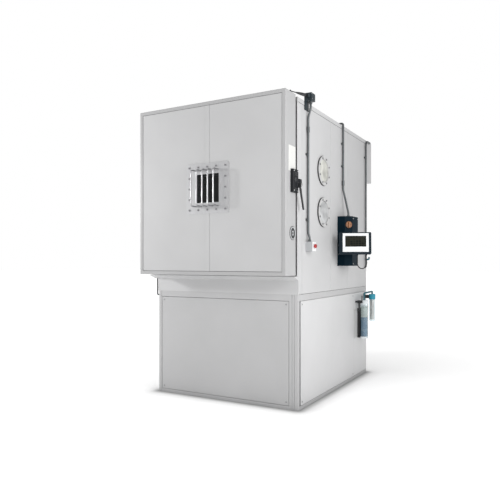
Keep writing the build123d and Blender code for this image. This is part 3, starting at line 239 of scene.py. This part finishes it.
def display(name, centre, turn):
    """Dark display with dim generic bars, laid out around a middle and a turn."""
    surface = Surface(name)
    own = surface.node("ShaderNodeMapping", {"Vector": surface.where, "Location": centre, "Rotation": turn},
                       vector_type="TEXTURE")
    flat = surface.node("ShaderNodeMapping", {"Vector": own.outputs["Vector"],
                                              "Rotation": (math.radians(90), 0.0, 0.0)})
    rows = surface.node("ShaderNodeTexBrick", {
        "Vector": flat.outputs["Vector"], "Scale": 1.0, "Brick Width": 0.0245, "Row Height": 0.0205,
        "Mortar Size": 0.0022, "Color1": (0.006, 0.008, 0.007, 1.0), "Color2": (0.016, 0.017, 0.012, 1.0),
        "Mortar": (0.022, 0.021, 0.016, 1.0)}, offset=0.0)
    surface.colored(rows.outputs["Color"])
    surface.tree.links.new(rows.outputs["Color"], surface.shader.inputs["Emission Color"])
    surface.shader.inputs["Emission Strength"].default_value = 0.12
    surface.bump(surface.noise(scale=60.0, detail=1.0), strength=0.02, distance=0.0005)
    surface.put(rough=0.16, specular=0.15)
    return surface.material


# Painted sheet

PAINT = (0.49, 0.49, 0.494)
paint_front = coated("paint_front", PAINT, rough=0.5, specular=0.28)
# The next copies of this paint carry painted light and shade: darker for the door's trim and the base,
# lighter for the side walls, side panels, roof cap and sill
paint_trim_painted_shade = coated("paint_trim_painted_shade", shade(PAINT, 0.82), rough=0.4)
paint_side_painted_light = coated("paint_side_painted_light", shade(PAINT, 1.03), rough=0.4)
paint_panel_painted_light = coated("paint_panel_painted_light", shade(PAINT, 1.18), rough=0.4)
paint_base_painted_shade = coated("paint_base_painted_shade", shade(PAINT, 0.91))
paint_cap_painted_light = coated("paint_cap_painted_light", shade(PAINT, 1.04))
paint_frame = coated("paint_frame", (0.16, 0.165, 0.17), rough=0.5)
paint_box = coated("paint_box", (0.44, 0.45, 0.46), rough=0.38)
paint_flange = coated("paint_flange", (0.50, 0.50, 0.50), rough=0.36, patch=9.0)
plate_white = coated("plate_white", (0.66, 0.66, 0.64), rough=0.3, patch=12.0, edge=0.0004)
face_white = coated("face_white", (0.74, 0.75, 0.76), rough=0.34, patch=8.0, edge=0.0008)
navy = coated("navy", (0.002, 0.011, 0.019), rough=0.45, spread=0.12, patch=6.0, specular=0.06)
housing_dark = coated("housing_dark", (0.007, 0.014, 0.021), rough=0.46, spread=0.1, patch=9.0, specular=0.12)
motor_blue = coated("motor_blue", (0.06, 0.085, 0.12), spread=0.15, patch=8.0)

# Metals

stainless = brushed("stainless", (0.60, 0.60, 0.59), rough=0.34)
stainless_dull = brushed("stainless_dull", (0.38, 0.38, 0.375), rough=0.5)
stainless_flat = brushed("stainless_flat", (0.55, 0.55, 0.55), rough=0.38, along=(420.0, 6.0, 6.0))
plate_steel = brushed("plate_steel", (0.52, 0.52, 0.53), rough=0.36, along=(300.0, 8.0, 8.0), metal=0.45)
rod_steel = brushed("rod_steel", (0.42, 0.42, 0.43), rough=0.3, along=(60.0, 60.0, 4.0), edge=0)
soft_bolt = brushed("soft_bolt", (0.27, 0.27, 0.28), rough=0.38, along=(200.0, 200.0, 200.0), edge=0.0008,
                    metal=0.7)
screw_steel = brushed("screw_steel", (0.5, 0.5, 0.5), rough=0.3, along=(300.0, 300.0, 300.0), edge=0.0005)
hinge_steel = brushed("hinge_steel", (0.5, 0.5, 0.5), rough=0.34, along=(30.0, 200.0, 30.0))
copper = brushed("copper", (0.72, 0.34, 0.2), rough=0.32, along=(60.0, 60.0, 60.0), edge=0)
fan_metal = brushed("fan_metal", (0.68, 0.68, 0.68), rough=0.3, along=(90.0, 90.0, 90.0))
fins = brushed("fins", (0.7, 0.71, 0.72), rough=0.36, along=(500.0, 4.0, 4.0), strength=0.4)
conduit_zinc = coated("conduit_zinc", (0.10, 0.108, 0.112), rough=0.34, spread=0.2, patch=14.0, edge=0.0008,
                      metal=0.6)

# Castings, rubber and foam

SEALANT = (0.09, 0.09, 0.092)
FOAM = (0.78, 0.68, 0.42)
WALL_SEALANT_DEPTH = 0.0015
DOOR_SEALANT_DEPTH = 0.0008
wall_foam_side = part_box("insulation")[1].x - WALL_SEALANT_DEPTH
door_foam_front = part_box("door_foam")[0].y + DOOR_SEALANT_DEPTH
black_cast = cast("black_cast", (0.009, 0.010, 0.012), rough=0.5, specular=0.3)
switch_dark = cast("switch_dark", (0.016, 0.026, 0.032), rough=0.4, coat=0.1)
shell_black = cast("shell_black", (0.025, 0.026, 0.028), rough=0.4, grain=400.0)
sheath = cast("sheath", (0.3, 0.28, 0.26), rough=0.45, grain=600.0, metal=0.8)
seal = cast("seal", (0.032, 0.032, 0.034), rough=0.62, grain=500.0)
bead_grey = cast("bead_grey", (0.13, 0.13, 0.132), rough=0.6, grain=500.0)
jacket = cast("jacket", (0.010, 0.010, 0.011), rough=0.5, grain=700.0, edge=0, specular=0.2)
foam_upper = cast("foam_upper", (0.42, 0.42, 0.39), rough=0.75, grain=180.0, strength=0.6, edge=0.002,
                  spread=0.34)
foam_lower = cast("foam_lower", (0.41, 0.415, 0.42), rough=0.7, grain=180.0, strength=0.6, edge=0.002,
                  spread=0.34)
wall_foam = zoned("wall_foam", FOAM, SEALANT, "X", wall_foam_side, absolute=True, rough=0.8, grain=260.0,
                  strength=0.5, edge=0)
door_core = zoned("door_core", SEALANT, FOAM, "Y", door_foam_front, rough=0.8, grain=260.0, strength=0.5,
                  edge=0)

# Moulded plastics

lever_black = coated("lever_black", (0.018, 0.019, 0.021), rough=0.36, spread=0.15, patch=20.0, coat=0.1)
black_plastic = coated("black_plastic", (0.014, 0.015, 0.017), spread=0.15, patch=25.0)
drain_grey = coated("drain_grey", (0.10, 0.10, 0.105), rough=0.5, spread=0.1, patch=12.0)
amber = coated("amber", (0.24, 0.085, 0.018), rough=0.34, spread=0.4, patch=60.0, coat=0.1)
red = coated("red", (0.42, 0.012, 0.012), rough=0.32, spread=0.1, patch=40.0, coat=0.3)
red_dark = coated("red_dark", (0.10, 0.006, 0.006), rough=0.4, spread=0.1, patch=40.0)

# Filters and their pipes, whose tones change along Y

BETWEEN_FILTERS = 0.72
BETWEEN_PIPES = 0.57
BLUE_BEADS = [(0.35, (0.16, 0.27, 0.40)), (0.55, (0.24, 0.36, 0.48)), (0.75, (0.36, 0.45, 0.53))]
PALE_BEADS = [(0.3, (0.72, 0.78, 0.74)), (0.7, (0.88, 0.90, 0.84))]
WOUND_ELEMENT = [(0.3, (0.86, 0.78, 0.74)), (0.7, (0.95, 0.89, 0.86))]
resin = granular("resin", BLUE_BEADS, WOUND_ELEMENT)
upper_beads = granular("upper_beads", PALE_BEADS)
filter_caps = zoned("filter_caps", (0.66, 0.70, 0.72), (0.02, 0.27, 0.38), "Y", BETWEEN_FILTERS)
pipe_tones = zoned("pipe_tones", (0.018, 0.019, 0.021), (0.012, 0.10, 0.13), "Y", BETWEEN_PIPES)
tube_clear = clear("tube_clear", (0.90, 0.955, 0.97), rough=0.03, haze=0.1)

# Window and display, whose bars follow the middle of the monitor and nearly its turn, in degrees

MONITOR_CENTRE = (0.91999, -0.13206, 1.35178)
MONITOR_TURN = (-5.56595, -2.24411, 21.8909)
pane_glass = clear("pane_glass", (0.22, 0.24, 0.25), rough=0.01, haze=0.03)
screen_dark = display("screen_dark", MONITOR_CENTRE, tuple(math.radians(angle) for angle in MONITOR_TURN))

# Finish of each CAD node

FINISH = {
    "base_frame": paint_frame, "base_surround": paint_base_painted_shade, "front_base_panel": paint_base_painted_shade,
    "side_base_panels": paint_panel_painted_light, "rear_grille_panel": paint_base_painted_shade, "panel_screws": soft_bolt,
    "compressors": shell_black, "condenser": motor_blue, "refrigerant_lines": copper,
    "wall_skins": paint_side_painted_light, "roof_cap": paint_cap_painted_light, "rear_cover": paint_side_painted_light, "insulation": wall_foam,
    "liner": stainless, "door_jamb": stainless_flat, "drip_sill": paint_cap_painted_light, "sill_drain_pipe": drain_grey,
    "air_baffle": stainless, "evaporator_coil": fins, "heater_elements": sheath, "blower_wheel": fan_metal,
    "blower_motor": motor_blue, "shelf": stainless_flat, "port_sleeves": paint_flange,
    "upper_port_plug": foam_upper, "lower_port_plug": foam_lower, "conduits": conduit_zinc,
    "estop_box": paint_box, "estop_button": red, "door_switch": switch_dark, "door_switch_lever": lever_black,
    "control_enclosure": navy, "disconnect_knob": amber, "arm_bracket": black_cast, "monitor_arm": black_cast,
    "monitor_housing": housing_dark, "monitor_bezel": face_white, "monitor_screen": screen_dark,
    "monitor_cable": jacket, "filter_bracket": black_plastic, "filter_cartridge": tube_clear,
    "filter_media": resin, "filter_bowl": tube_clear, "filter_heads": filter_caps, "water_pipes": pipe_tones,
    "filter_valve_handle": black_plastic, "door_edge_frame": paint_trim_painted_shade, "door_skin": paint_front,
    "door_foam": door_core, "door_inner_panel": stainless_dull, "door_gasket": seal,
    "window_frame": plate_steel, "window_panes": pane_glass, "window_guard": rod_steel,
    "window_bolts": soft_bolt, "latch_body": black_cast, "latch_lever": lever_black,
    "latch_strike": black_cast, "cabinet_hinge_leaves": hinge_steel, "door_hinge_leaves": hinge_steel,
}


def dress(piece, material):
    """Gives every slot of a mesh or curve this material."""
    slots = piece.data.materials
    for index in range(len(slots)):
        slots[index] = material
    if not len(slots):
        slots.append(material)


for node_name, finish in FINISH.items():
    dress(nodes[node_name], finish)

# Cord: the monitor's cable, which leaves its housing and goes back into it

CABLE = [(1.0004, -0.0801, 1.2363), (1.0017, -0.0833, 1.2034), (1.0078, -0.0851, 1.1657),
         (0.9997, -0.0944, 1.132), (0.9729, -0.1081, 1.1162), (0.9438, -0.1163, 1.128),
         (0.9279, -0.1168, 1.1616), (0.9295, -0.1129, 1.1995), (0.9281, -0.1094, 1.2363)]
CABLE_DIAMETER = 0.008

cable_data = bpy.data.curves.new("cable_loop", "CURVE")
cable_data.dimensions = "3D"
cable_data.bevel_depth = CABLE_DIAMETER / 2
cable_data.bevel_resolution = 6
cable_data.resolution_u = 12
cable_data.use_fill_caps = True
spline = cable_data.splines.new("NURBS")
spline.points.add(len(CABLE) - 1)
for point, place in zip(spline.points, CABLE):
    point.co = (*place, 1.0)
spline.order_u = 3
spline.use_endpoint_u = True
cable = bpy.data.objects.new("cable_loop", cable_data)
scene.collection.objects.link(cable)
dress(cable, jacket)
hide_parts("monitor_cable")
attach(cable, "monitor")


# Shapes that the small pieces share

CORNER_POINTS = 6
ROUND_FROM_STEPS = 9


def finished(builder, name, material, body):
    """Turns a bmesh into a piece that rides on a body."""
    mesh = bpy.data.meshes.new(name)
    bmesh.ops.recalc_face_normals(builder, faces=builder.faces)
    builder.to_mesh(mesh)
    builder.free()
    piece = bpy.data.objects.new(name, mesh)
    scene.collection.objects.link(piece)
    dress(piece, material)
    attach(piece, body)


def band(builder, low, high, smooth=False):
    """Faces between two loops of points."""
    for step in range(len(low)):
        after = (step + 1) % len(low)
        face = builder.faces.new((low[step], low[after], high[after], high[step]))
        face.smooth = smooth


def turned(builder, profile, place, direction, steps, hollow=False):
    """Turned shape from (radius, height) points: closed by end faces, or a closed ring if hollow."""
    turn = Vector(direction).to_track_quat("Z", "Y").to_matrix().to_4x4()
    matrix = Matrix.Translation(Vector(place)) @ turn
    angles = [2 * math.pi * step / steps for step in range(steps)]
    rings = []
    for radius, height in profile:
        ring = [Vector((radius * math.cos(angle), radius * math.sin(angle), height)) for angle in angles]
        rings.append([builder.verts.new(matrix @ point) for point in ring])
    following = rings[1:] + rings[:1] if hollow else rings[1:]
    for low, high in zip(rings, following):
        band(builder, low, high, smooth=steps >= ROUND_FROM_STEPS)
    if not hollow:
        builder.faces.new(rings[0][::-1])
        builder.faces.new(rings[-1])


def socket_screw(builder, place, radius):
    """Domed screw with a round recess, seated on a face that looks along X."""
    turned(builder, [(radius, 0), (radius, 0.3 * radius), (0.86 * radius, 0.62 * radius),
                     (0.5 * radius, 0.78 * radius), (0.48 * radius, 0.76 * radius),
                     (0.46 * radius, 0.3 * radius)], place, OUTWARD, steps=18)


def hex_nut(builder, place, radius, height):
    """Six-sided nut with chamfered ends around an upright pipe."""
    turned(builder, [(0.9 * radius, 0), (radius, 0.12 * height), (radius, 0.88 * height),
                     (0.9 * radius, height)], place, UP, steps=6)


def rounded_plate(builder, face_x, y_range, z_range, thickness, corner):
    """Plate with round corners and a bevelled rim, lying on a face that looks along X."""
    y_low, y_high = y_range[0] + corner, y_range[1] - corner
    z_low, z_high = z_range[0] + corner, z_range[1] - corner
    arcs = ((y_high, z_high, 0), (y_low, z_high, 90), (y_low, z_low, 180), (y_high, z_low, 270))
    rim = 0.35 * thickness
    loops = []
    for radius, height in ((corner, 0), (corner, thickness - rim), (corner - rim, thickness)):
        loop = []
        for y, z, start in arcs:
            for step in range(CORNER_POINTS):
                angle = math.radians(start + 90 * step / (CORNER_POINTS - 1))
                loop.append(builder.verts.new((face_x + height, y + radius * math.cos(angle),
                                               z + radius * math.sin(angle))))
        loops.append(loop)
    for low, high in zip(loops, loops[1:]):
        band(builder, low, high)
    builder.faces.new(loops[0][::-1])
    builder.faces.new(loops[-1])


def around(middle, half):
    """Range that reaches as far to each side of its middle."""
    return (middle - half, middle + half)


def corners(y_range, z_range, inset):
    """Four places inset from the corners of a rectangle."""
    return [(y, z) for y in (y_range[0] + inset, y_range[1] - inset)
            for z in (z_range[0] + inset, z_range[1] - inset)]


def pipe_between(builder, start, end, radii, steps=20):
    """Round bar between two points with a radius at even steps along it."""
    run = Vector(end) - Vector(start)
    profile = [(radius, run.length * index / (len(radii) - 1)) for index, radius in enumerate(radii)]
    turned(builder, profile, start, run.normalized(), steps)


# CAD nodes that carry the small pieces

door_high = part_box("door_edge_frame")[1]
door_side = door_high.x
wall_low, wall_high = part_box("wall_skins")
wall_side = wall_high.x
latch_low, latch_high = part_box("latch_body")
port_low, port_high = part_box("port_sleeves")
stop_low, stop_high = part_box("estop_box")
button_low, button_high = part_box("estop_button")
enclosure_low, enclosure_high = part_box("control_enclosure")
switch_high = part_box("door_switch")[1]

# Door's side: bare plate

BARE_PLATE_Y = (-1.069, -0.944)
BARE_PLATE_Z = (1.8745, 2.0715)

plate = bmesh.new()
rounded_plate(plate, door_side, BARE_PLATE_Y, BARE_PLATE_Z, thickness=0.0012, corner=0.006)
finished(plate, "bare_plate", plate_white, "door")

# Door's side: round cover on a dark ring, which is painted shade along the cover's rim

COVER_Y = -0.998
COVER_Z = 1.4
COVER_RADIUS = 0.050
COVER_HEIGHT = 0.006
COVER_SHADE_RADIUS = 0.0535
COVER_SHADE_HEIGHT = 0.0035
COVER_STEPS = 64
cover_place = (door_side, COVER_Y, COVER_Z)

cover = bmesh.new()
turned(cover, [(COVER_RADIUS, 0.0015), (COVER_RADIUS, 0.004), (0.048, COVER_HEIGHT), (0.043, COVER_HEIGHT),
               (0.040, 0.0032), (0.012, 0.0036), (0.010, 0.0034)], cover_place, OUTWARD, COVER_STEPS)
finished(cover, "edge_cover", paint_box, "door")
# Dark ring under the cover: painted shade of its rim
cover_shade_ring = bmesh.new()
turned(cover_shade_ring, [(COVER_SHADE_RADIUS, 0), (COVER_SHADE_RADIUS, 0.0025), (0.051, COVER_SHADE_HEIGHT), (0.049, COVER_SHADE_HEIGHT)],
       cover_place, OUTWARD, COVER_STEPS)
finished(cover_shade_ring, "edge_cover_shade_ring", seal, "door")

# Door's side: screws of the cover and of the latch's base

COVER_SCREW_OFFSET = 0.0455
LATCH_BASE_DEPTH = 0.026
latch_face = latch_low.x + LATCH_BASE_DEPTH
latch_y = (latch_low.y, door_high.y)
latch_z = (latch_low.z, latch_high.z)

door_screws = bmesh.new()
for offset in (-COVER_SCREW_OFFSET, COVER_SCREW_OFFSET):
    socket_screw(door_screws, (door_side + COVER_HEIGHT, COVER_Y, COVER_Z + offset), radius=0.005)
for y, z in corners(latch_y, latch_z, inset=0.013):
    socket_screw(door_screws, (latch_face, y, z), radius=0.006)
finished(door_screws, "door_screws", screw_steel, "door")

# Latch: ribs, boss, and the collar and cap of its pivot

RIB_MARGIN = 0.0175
RIB_HALF_HEIGHT = 0.004
RIBS_BELOW_TOP = (0.0295, 0.0435)
RIBS_ABOVE_FOOT = (0.0295, 0.0175)
BOSS_BEHIND_FRONT = 0.029
BOSS_ABOVE_FOOT = 0.0975
latch_pivot = joints["latch_lift"]["pos_m"]
rib_y = (latch_y[0] + RIB_MARGIN, latch_y[1] - RIB_MARGIN)
rib_heights = [latch_high.z - drop for drop in RIBS_BELOW_TOP]
rib_heights += [latch_low.z + rise for rise in RIBS_ABOVE_FOOT]

latch_trim = bmesh.new()
for height in rib_heights:
    rounded_plate(latch_trim, latch_face, rib_y, around(height, RIB_HALF_HEIGHT), thickness=0.003,
                  corner=0.003)
turned(latch_trim, [(0.017, 0), (0.017, 0.004), (0.014, 0.007), (0.008, 0.008), (0.0075, 0.0065)],
       (latch_face, latch_low.y + BOSS_BEHIND_FRONT, latch_low.z + BOSS_ABOVE_FOOT), OUTWARD, steps=40)
turned(latch_trim, [(0.0205, 0), (0.0205, 0.003), (0.0185, 0.005)],
       (latch_face, latch_pivot[1], latch_pivot[2]), OUTWARD, steps=40)
finished(latch_trim, "latch_trim", lever_black, "door")

latch_cap = bmesh.new()
turned(latch_cap, [(0.0125, 0), (0.0125, 0.003), (0.0105, 0.0048), (0.004, 0.0055)],
       (latch_high.x, latch_pivot[1], latch_pivot[2]), OUTWARD, steps=6)
finished(latch_cap, "latch_cap", screw_steel, "door")

# Port flanges: dark bands round their rims, painted shade of the rims' sides

PLUG_RADIUS = 0.0997
FLANGE_RADIUS = 0.1275
FLANGE_SHADE_RADIUS = 0.1292
port_y = (port_low.y + port_high.y) / 2

# Dark rings that stand in for the shade on each flange's rim
rim_shade_rings = bmesh.new()
for plug in ("lower_port_plug", "upper_port_plug"):
    port_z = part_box(plug)[1].z - PLUG_RADIUS
    turned(rim_shade_rings, [(FLANGE_RADIUS, 0), (FLANGE_SHADE_RADIUS, 0.001), (FLANGE_SHADE_RADIUS, 0.0105),
                   (FLANGE_RADIUS, 0.0115)], (wall_side, port_y, port_z), OUTWARD, steps=96, hollow=True)
finished(rim_shade_rings, "flange_shade_bands", seal, "cabinet")

# Side wall: plate in front of the filters' bracket

FILTER_PLATE_WIDTH = 0.103
FILTER_PLATE_HEIGHT = 0.295
FILTER_PLATE_THICKNESS = 0.003
BRACKET_GAP = 0.002
bracket_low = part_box("filter_bracket")[0]
plate_end = bracket_low.y - BRACKET_GAP
filter_plate_y = (plate_end - FILTER_PLATE_WIDTH, plate_end)
filter_plate_z = (bracket_low.z, bracket_low.z + FILTER_PLATE_HEIGHT)

wall_plate = bmesh.new()
rounded_plate(wall_plate, wall_side, filter_plate_y, filter_plate_z, FILTER_PLATE_THICKNESS, corner=0.008)
finished(wall_plate, "filter_plate", paint_flange, "cabinet")

# Emergency stop: plate on its box and disc in the middle of its button

STOP_PLATE_HALF = 0.0375
stop_middle = (stop_low + stop_high) / 2
button_middle = (button_low + button_high) / 2

stop_plate = bmesh.new()
rounded_plate(stop_plate, stop_high.x, around(stop_middle.y, STOP_PLATE_HALF),
              around(stop_middle.z, STOP_PLATE_HALF), thickness=0.0012, corner=0.005)
finished(stop_plate, "stop_plate", face_white, "cabinet")

stop_centre = bmesh.new()
turned(stop_centre, [(0.0075, 0), (0.0075, 0.0006), (0.006, 0.0012), (0.003, 0.0015)],
       (button_high.x, button_middle.y, button_middle.z), OUTWARD, steps=32)
finished(stop_centre, "button_centre", red_dark, "stop_button")

# Side wall: screws of the filters' plate and of the control box's lid

LID_START = 0.058
lid_y = (LID_START, enclosure_high.y)
lid_z = (enclosure_low.z, enclosure_high.z)

side_screws = bmesh.new()
for y, z in corners(filter_plate_y, filter_plate_z, inset=0.012):
    socket_screw(side_screws, (wall_side + FILTER_PLATE_THICKNESS, y, z), radius=0.0045)
for y, z in corners(lid_y, lid_z, inset=0.02):
    socket_screw(side_screws, (enclosure_high.x, y, z), radius=0.006)
finished(side_screws, "side_screws", screw_steel, "cabinet")

# Roof: bead of sealant under the cap's edge on both sides

BEAD_RADIUS = 0.0018
BEAD_DROP = 0.001
BEAD_INSET = 0.01
bead_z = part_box("roof_cap")[0].z - BEAD_DROP
bead_y = (wall_low.y + BEAD_INSET, wall_high.y - BEAD_INSET)

roof_bead = bmesh.new()
for x in (-wall_side, wall_side):
    pipe_between(roof_bead, (x, bead_y[0], bead_z), (x, bead_y[1], bead_z), [BEAD_RADIUS] * 3, steps=12)
finished(roof_bead, "roof_bead", bead_grey, "cabinet")

# Conduits: nuts on the stop's box, on the control box and under the door switch

NUT_RADIUS = 0.0152
NUT_HEIGHT = 0.008
STOP_CONDUIT = (0.727, -0.718)
CONTROL_CONDUIT = (0.766, 0.117)
SWITCH_CONDUIT = (0.736, -0.718)
SWITCH_NUT_DROP = 0.078
nut_places = ((*STOP_CONDUIT, stop_high.z), (*CONTROL_CONDUIT, enclosure_high.z),
              (*SWITCH_CONDUIT, switch_high.z - SWITCH_NUT_DROP))

nuts = bmesh.new()
for place in nut_places:
    hex_nut(nuts, place, NUT_RADIUS, NUT_HEIGHT)
finished(nuts, "conduit_nuts", conduit_zinc, "cabinet")

# Disconnect knob: ring around its foot

knob_turn = joints["knob_turn"]
knob_ring = bmesh.new()
turned(knob_ring, [(0.036, 0), (0.036, 0.002), (0.034, 0.0035), (0.0325, 0.0035), (0.0325, 0)],
       knob_turn["pos_m"], knob_turn["axis"], steps=48, hollow=True)
finished(knob_ring, "knob_ring", black_cast, "cabinet")

# Door switch: round head, cover and the cover's screws

HEAD_BEHIND_COVER = 0.022
SWITCH_COVER_MARGIN = 0.005
SWITCH_COVER_WIDTH = 0.07
SWITCH_COVER_HEIGHT = 0.05
SWITCH_COVER_THICKNESS = 0.0025
switch_pivot = joints["switch_lift"]["pos_m"]
switch_cover_end = switch_high.y - SWITCH_COVER_MARGIN
switch_cover_top = switch_high.z - SWITCH_COVER_MARGIN
switch_cover_y = (switch_cover_end - SWITCH_COVER_WIDTH, switch_cover_end)
switch_cover_z = (switch_cover_top - SWITCH_COVER_HEIGHT, switch_cover_top)

switch_trim = bmesh.new()
turned(switch_trim, [(0.017, 0), (0.017, 0.010), (0.0155, 0.0125), (0.011, 0.0135), (0.010, 0.012)],
       (switch_high.x - HEAD_BEHIND_COVER, switch_pivot[1], switch_pivot[2]), OUTWARD, steps=40)
rounded_plate(switch_trim, switch_high.x, switch_cover_y, switch_cover_z, SWITCH_COVER_THICKNESS,
              corner=0.005)
finished(switch_trim, "switch_cover", switch_dark, "cabinet")

switch_screws = bmesh.new()
for y, z in corners(switch_cover_y, switch_cover_z, inset=0.006):
    socket_screw(switch_screws, (switch_high.x + SWITCH_COVER_THICKNESS, y, z), radius=0.003)
finished(switch_screws, "switch_screws", screw_steel, "cabinet")

# Door switch: tapered sleeve on its lever

WAND_START = Vector((0.7297, -0.782, 2.515))
WAND_END = Vector((0.688, -1.004, 2.4965))
SLEEVE_FROM = 0.06
SLEEVE_TO = 0.66
SLEEVE_RADII = [0.0110, 0.0130, 0.0125, 0.0115, 0.0098, 0.0078, 0.0055]

sleeve = bmesh.new()
pipe_between(sleeve, WAND_START.lerp(WAND_END, SLEEVE_FROM), WAND_START.lerp(WAND_END, SLEEVE_TO),
             SLEEVE_RADII)
finished(sleeve, "wand_sleeve", lever_black, "switch_lever")

# Filters: upper bed of beads in the clear cartridge

CARTRIDGE_RADIUS = 0.039
BED_RADIUS = 0.0352
cartridge_low, cartridge_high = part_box("filter_cartridge")
cartridge_foot = (cartridge_high.x - CARTRIDGE_RADIUS, (cartridge_low.y + cartridge_high.y) / 2,
                  cartridge_low.z)

bed = bmesh.new()
turned(bed, [(BED_RADIUS, 0.1955), (BED_RADIUS, 0.281), (0.0335, 0.297), (0.030, 0.303)],
       cartridge_foot, UP, steps=40)
finished(bed, "upper_bed", upper_beads, "cabinet")

# Stage: white floor with a painted contact shadow, darker and without a glow of its own close to the base

FLOOR_HALF = 60
FLOOR_HEIGHT = -0.0005
FLOOR_SHADOW_TONES = [(0, 0.20), (0.03, 0.42), (0.08, 0.74), (0.20, 0.94)]
GLOW_AND_SHADOW_TONES = [(0, 0.0), (0.03, 0.05), (0.12, 0.27), (0.6, 0.38), (2.5, 0.62), (5.0, 0.8)]
base_low, base_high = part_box("base_frame")
base_centre = (base_low + base_high) / 2
base_half = (base_high - base_low) / 2
floor_surface = Surface("floor_white")


def vector_step(operation, value, other=(0.0, 0.0, 0.0), result="Vector"):
    """One vector sum on the floor's coordinates."""
    made = floor_surface.node("ShaderNodeVectorMath", {0: value, 1: other}, operation=operation)
    return made.outputs[result]


from_centre = vector_step("SUBTRACT", floor_surface.where, (base_centre.x, base_centre.y, 0.0))
aside = vector_step("ABSOLUTE", from_centre)
beyond = vector_step("SUBTRACT", aside, (base_half.x, base_half.y, 0.0))
outside = vector_step("MAXIMUM", beyond)
away = vector_step("LENGTH", outside, result="Value")


def over_distance(stops):
    """Grey that follows the distance from the base, from (metres, tone) stops."""
    reach = stops[-1][0]
    share = floor_surface.node("ShaderNodeMath", {0: away, 1: reach}, operation="DIVIDE")
    return floor_surface.ramp(share.outputs["Value"], [(metres / reach, (tone, tone, tone))
                                                       for metres, tone in stops])


# Painted shadow: the floor's colour darkens and its glow fades towards the base
floor_surface.colored(over_distance(FLOOR_SHADOW_TONES))
floor_surface.tree.links.new(over_distance(GLOW_AND_SHADOW_TONES), floor_surface.shader.inputs["Emission Strength"])
floor_surface.shader.inputs["Emission Color"].default_value = WHITE
floor_surface.put(rough=0.7, specular=0.2)
floor_corners = [(x * FLOOR_HALF, y * FLOOR_HALF, FLOOR_HEIGHT)
                 for x, y in ((-1, -1), (1, -1), (1, 1), (-1, 1))]
floor_mesh = bpy.data.meshes.new("floor")
floor_mesh.from_pydata(floor_corners, [], [(0, 1, 2, 3)])
floor = bpy.data.objects.new("floor", floor_mesh)
scene.collection.objects.link(floor)
dress(floor, floor_surface.material)


# Stage: studio lights


def area_light(name, place, target, size, power):
    """Soft square light aimed at a point."""
    data = bpy.data.lights.new(name, "AREA")
    data.shape = "SQUARE"
    data.size = size
    data.energy = power
    lamp = bpy.data.objects.new(name, data)
    lamp.location = place
    lamp.rotation_euler = (Vector(target) - Vector(place)).to_track_quat("-Z", "Y").to_euler()
    scene.collection.objects.link(lamp)


area_light("key", place=(-4.2, -3.1, 2.3), target=(0.0, -1.0, 1.5), size=0.5, power=112)
area_light("side_fill", place=(3.0, -1.7, 2.1), target=(0.7, -0.4, 1.5), size=1.6, power=56)
area_light("top", place=(0.5, -1.5, 6.5), target=(0.2, -0.5, 1.0), size=4.0, power=40)

# Stage: dim white surroundings, which the camera itself sees at full white

SURROUNDINGS_STRENGTH = 0.4
BACKDROP_STRENGTH = 1.0

world = bpy.data.worlds.new("studio")
scene.world = world
world.use_nodes = True
world_tree = world.node_tree
surroundings = world_tree.nodes["Background"]
backdrop = world_tree.nodes.new("ShaderNodeBackground")
for background, strength in ((surroundings, SURROUNDINGS_STRENGTH), (backdrop, BACKDROP_STRENGTH)):
    background.inputs["Color"].default_value = WHITE
    background.inputs["Strength"].default_value = strength
rays = world_tree.nodes.new("ShaderNodeLightPath")
mixer = world_tree.nodes.new("ShaderNodeMixShader")
world_tree.links.new(rays.outputs["Is Camera Ray"], mixer.inputs["Fac"])
world_tree.links.new(surroundings.outputs["Background"], mixer.inputs[1])
world_tree.links.new(backdrop.outputs["Background"], mixer.inputs[2])
world_tree.links.new(mixer.outputs["Shader"], world_tree.nodes["World Output"].inputs["Surface"])
scene.view_settings.view_transform = "Standard"
scene.view_settings.look = "None"
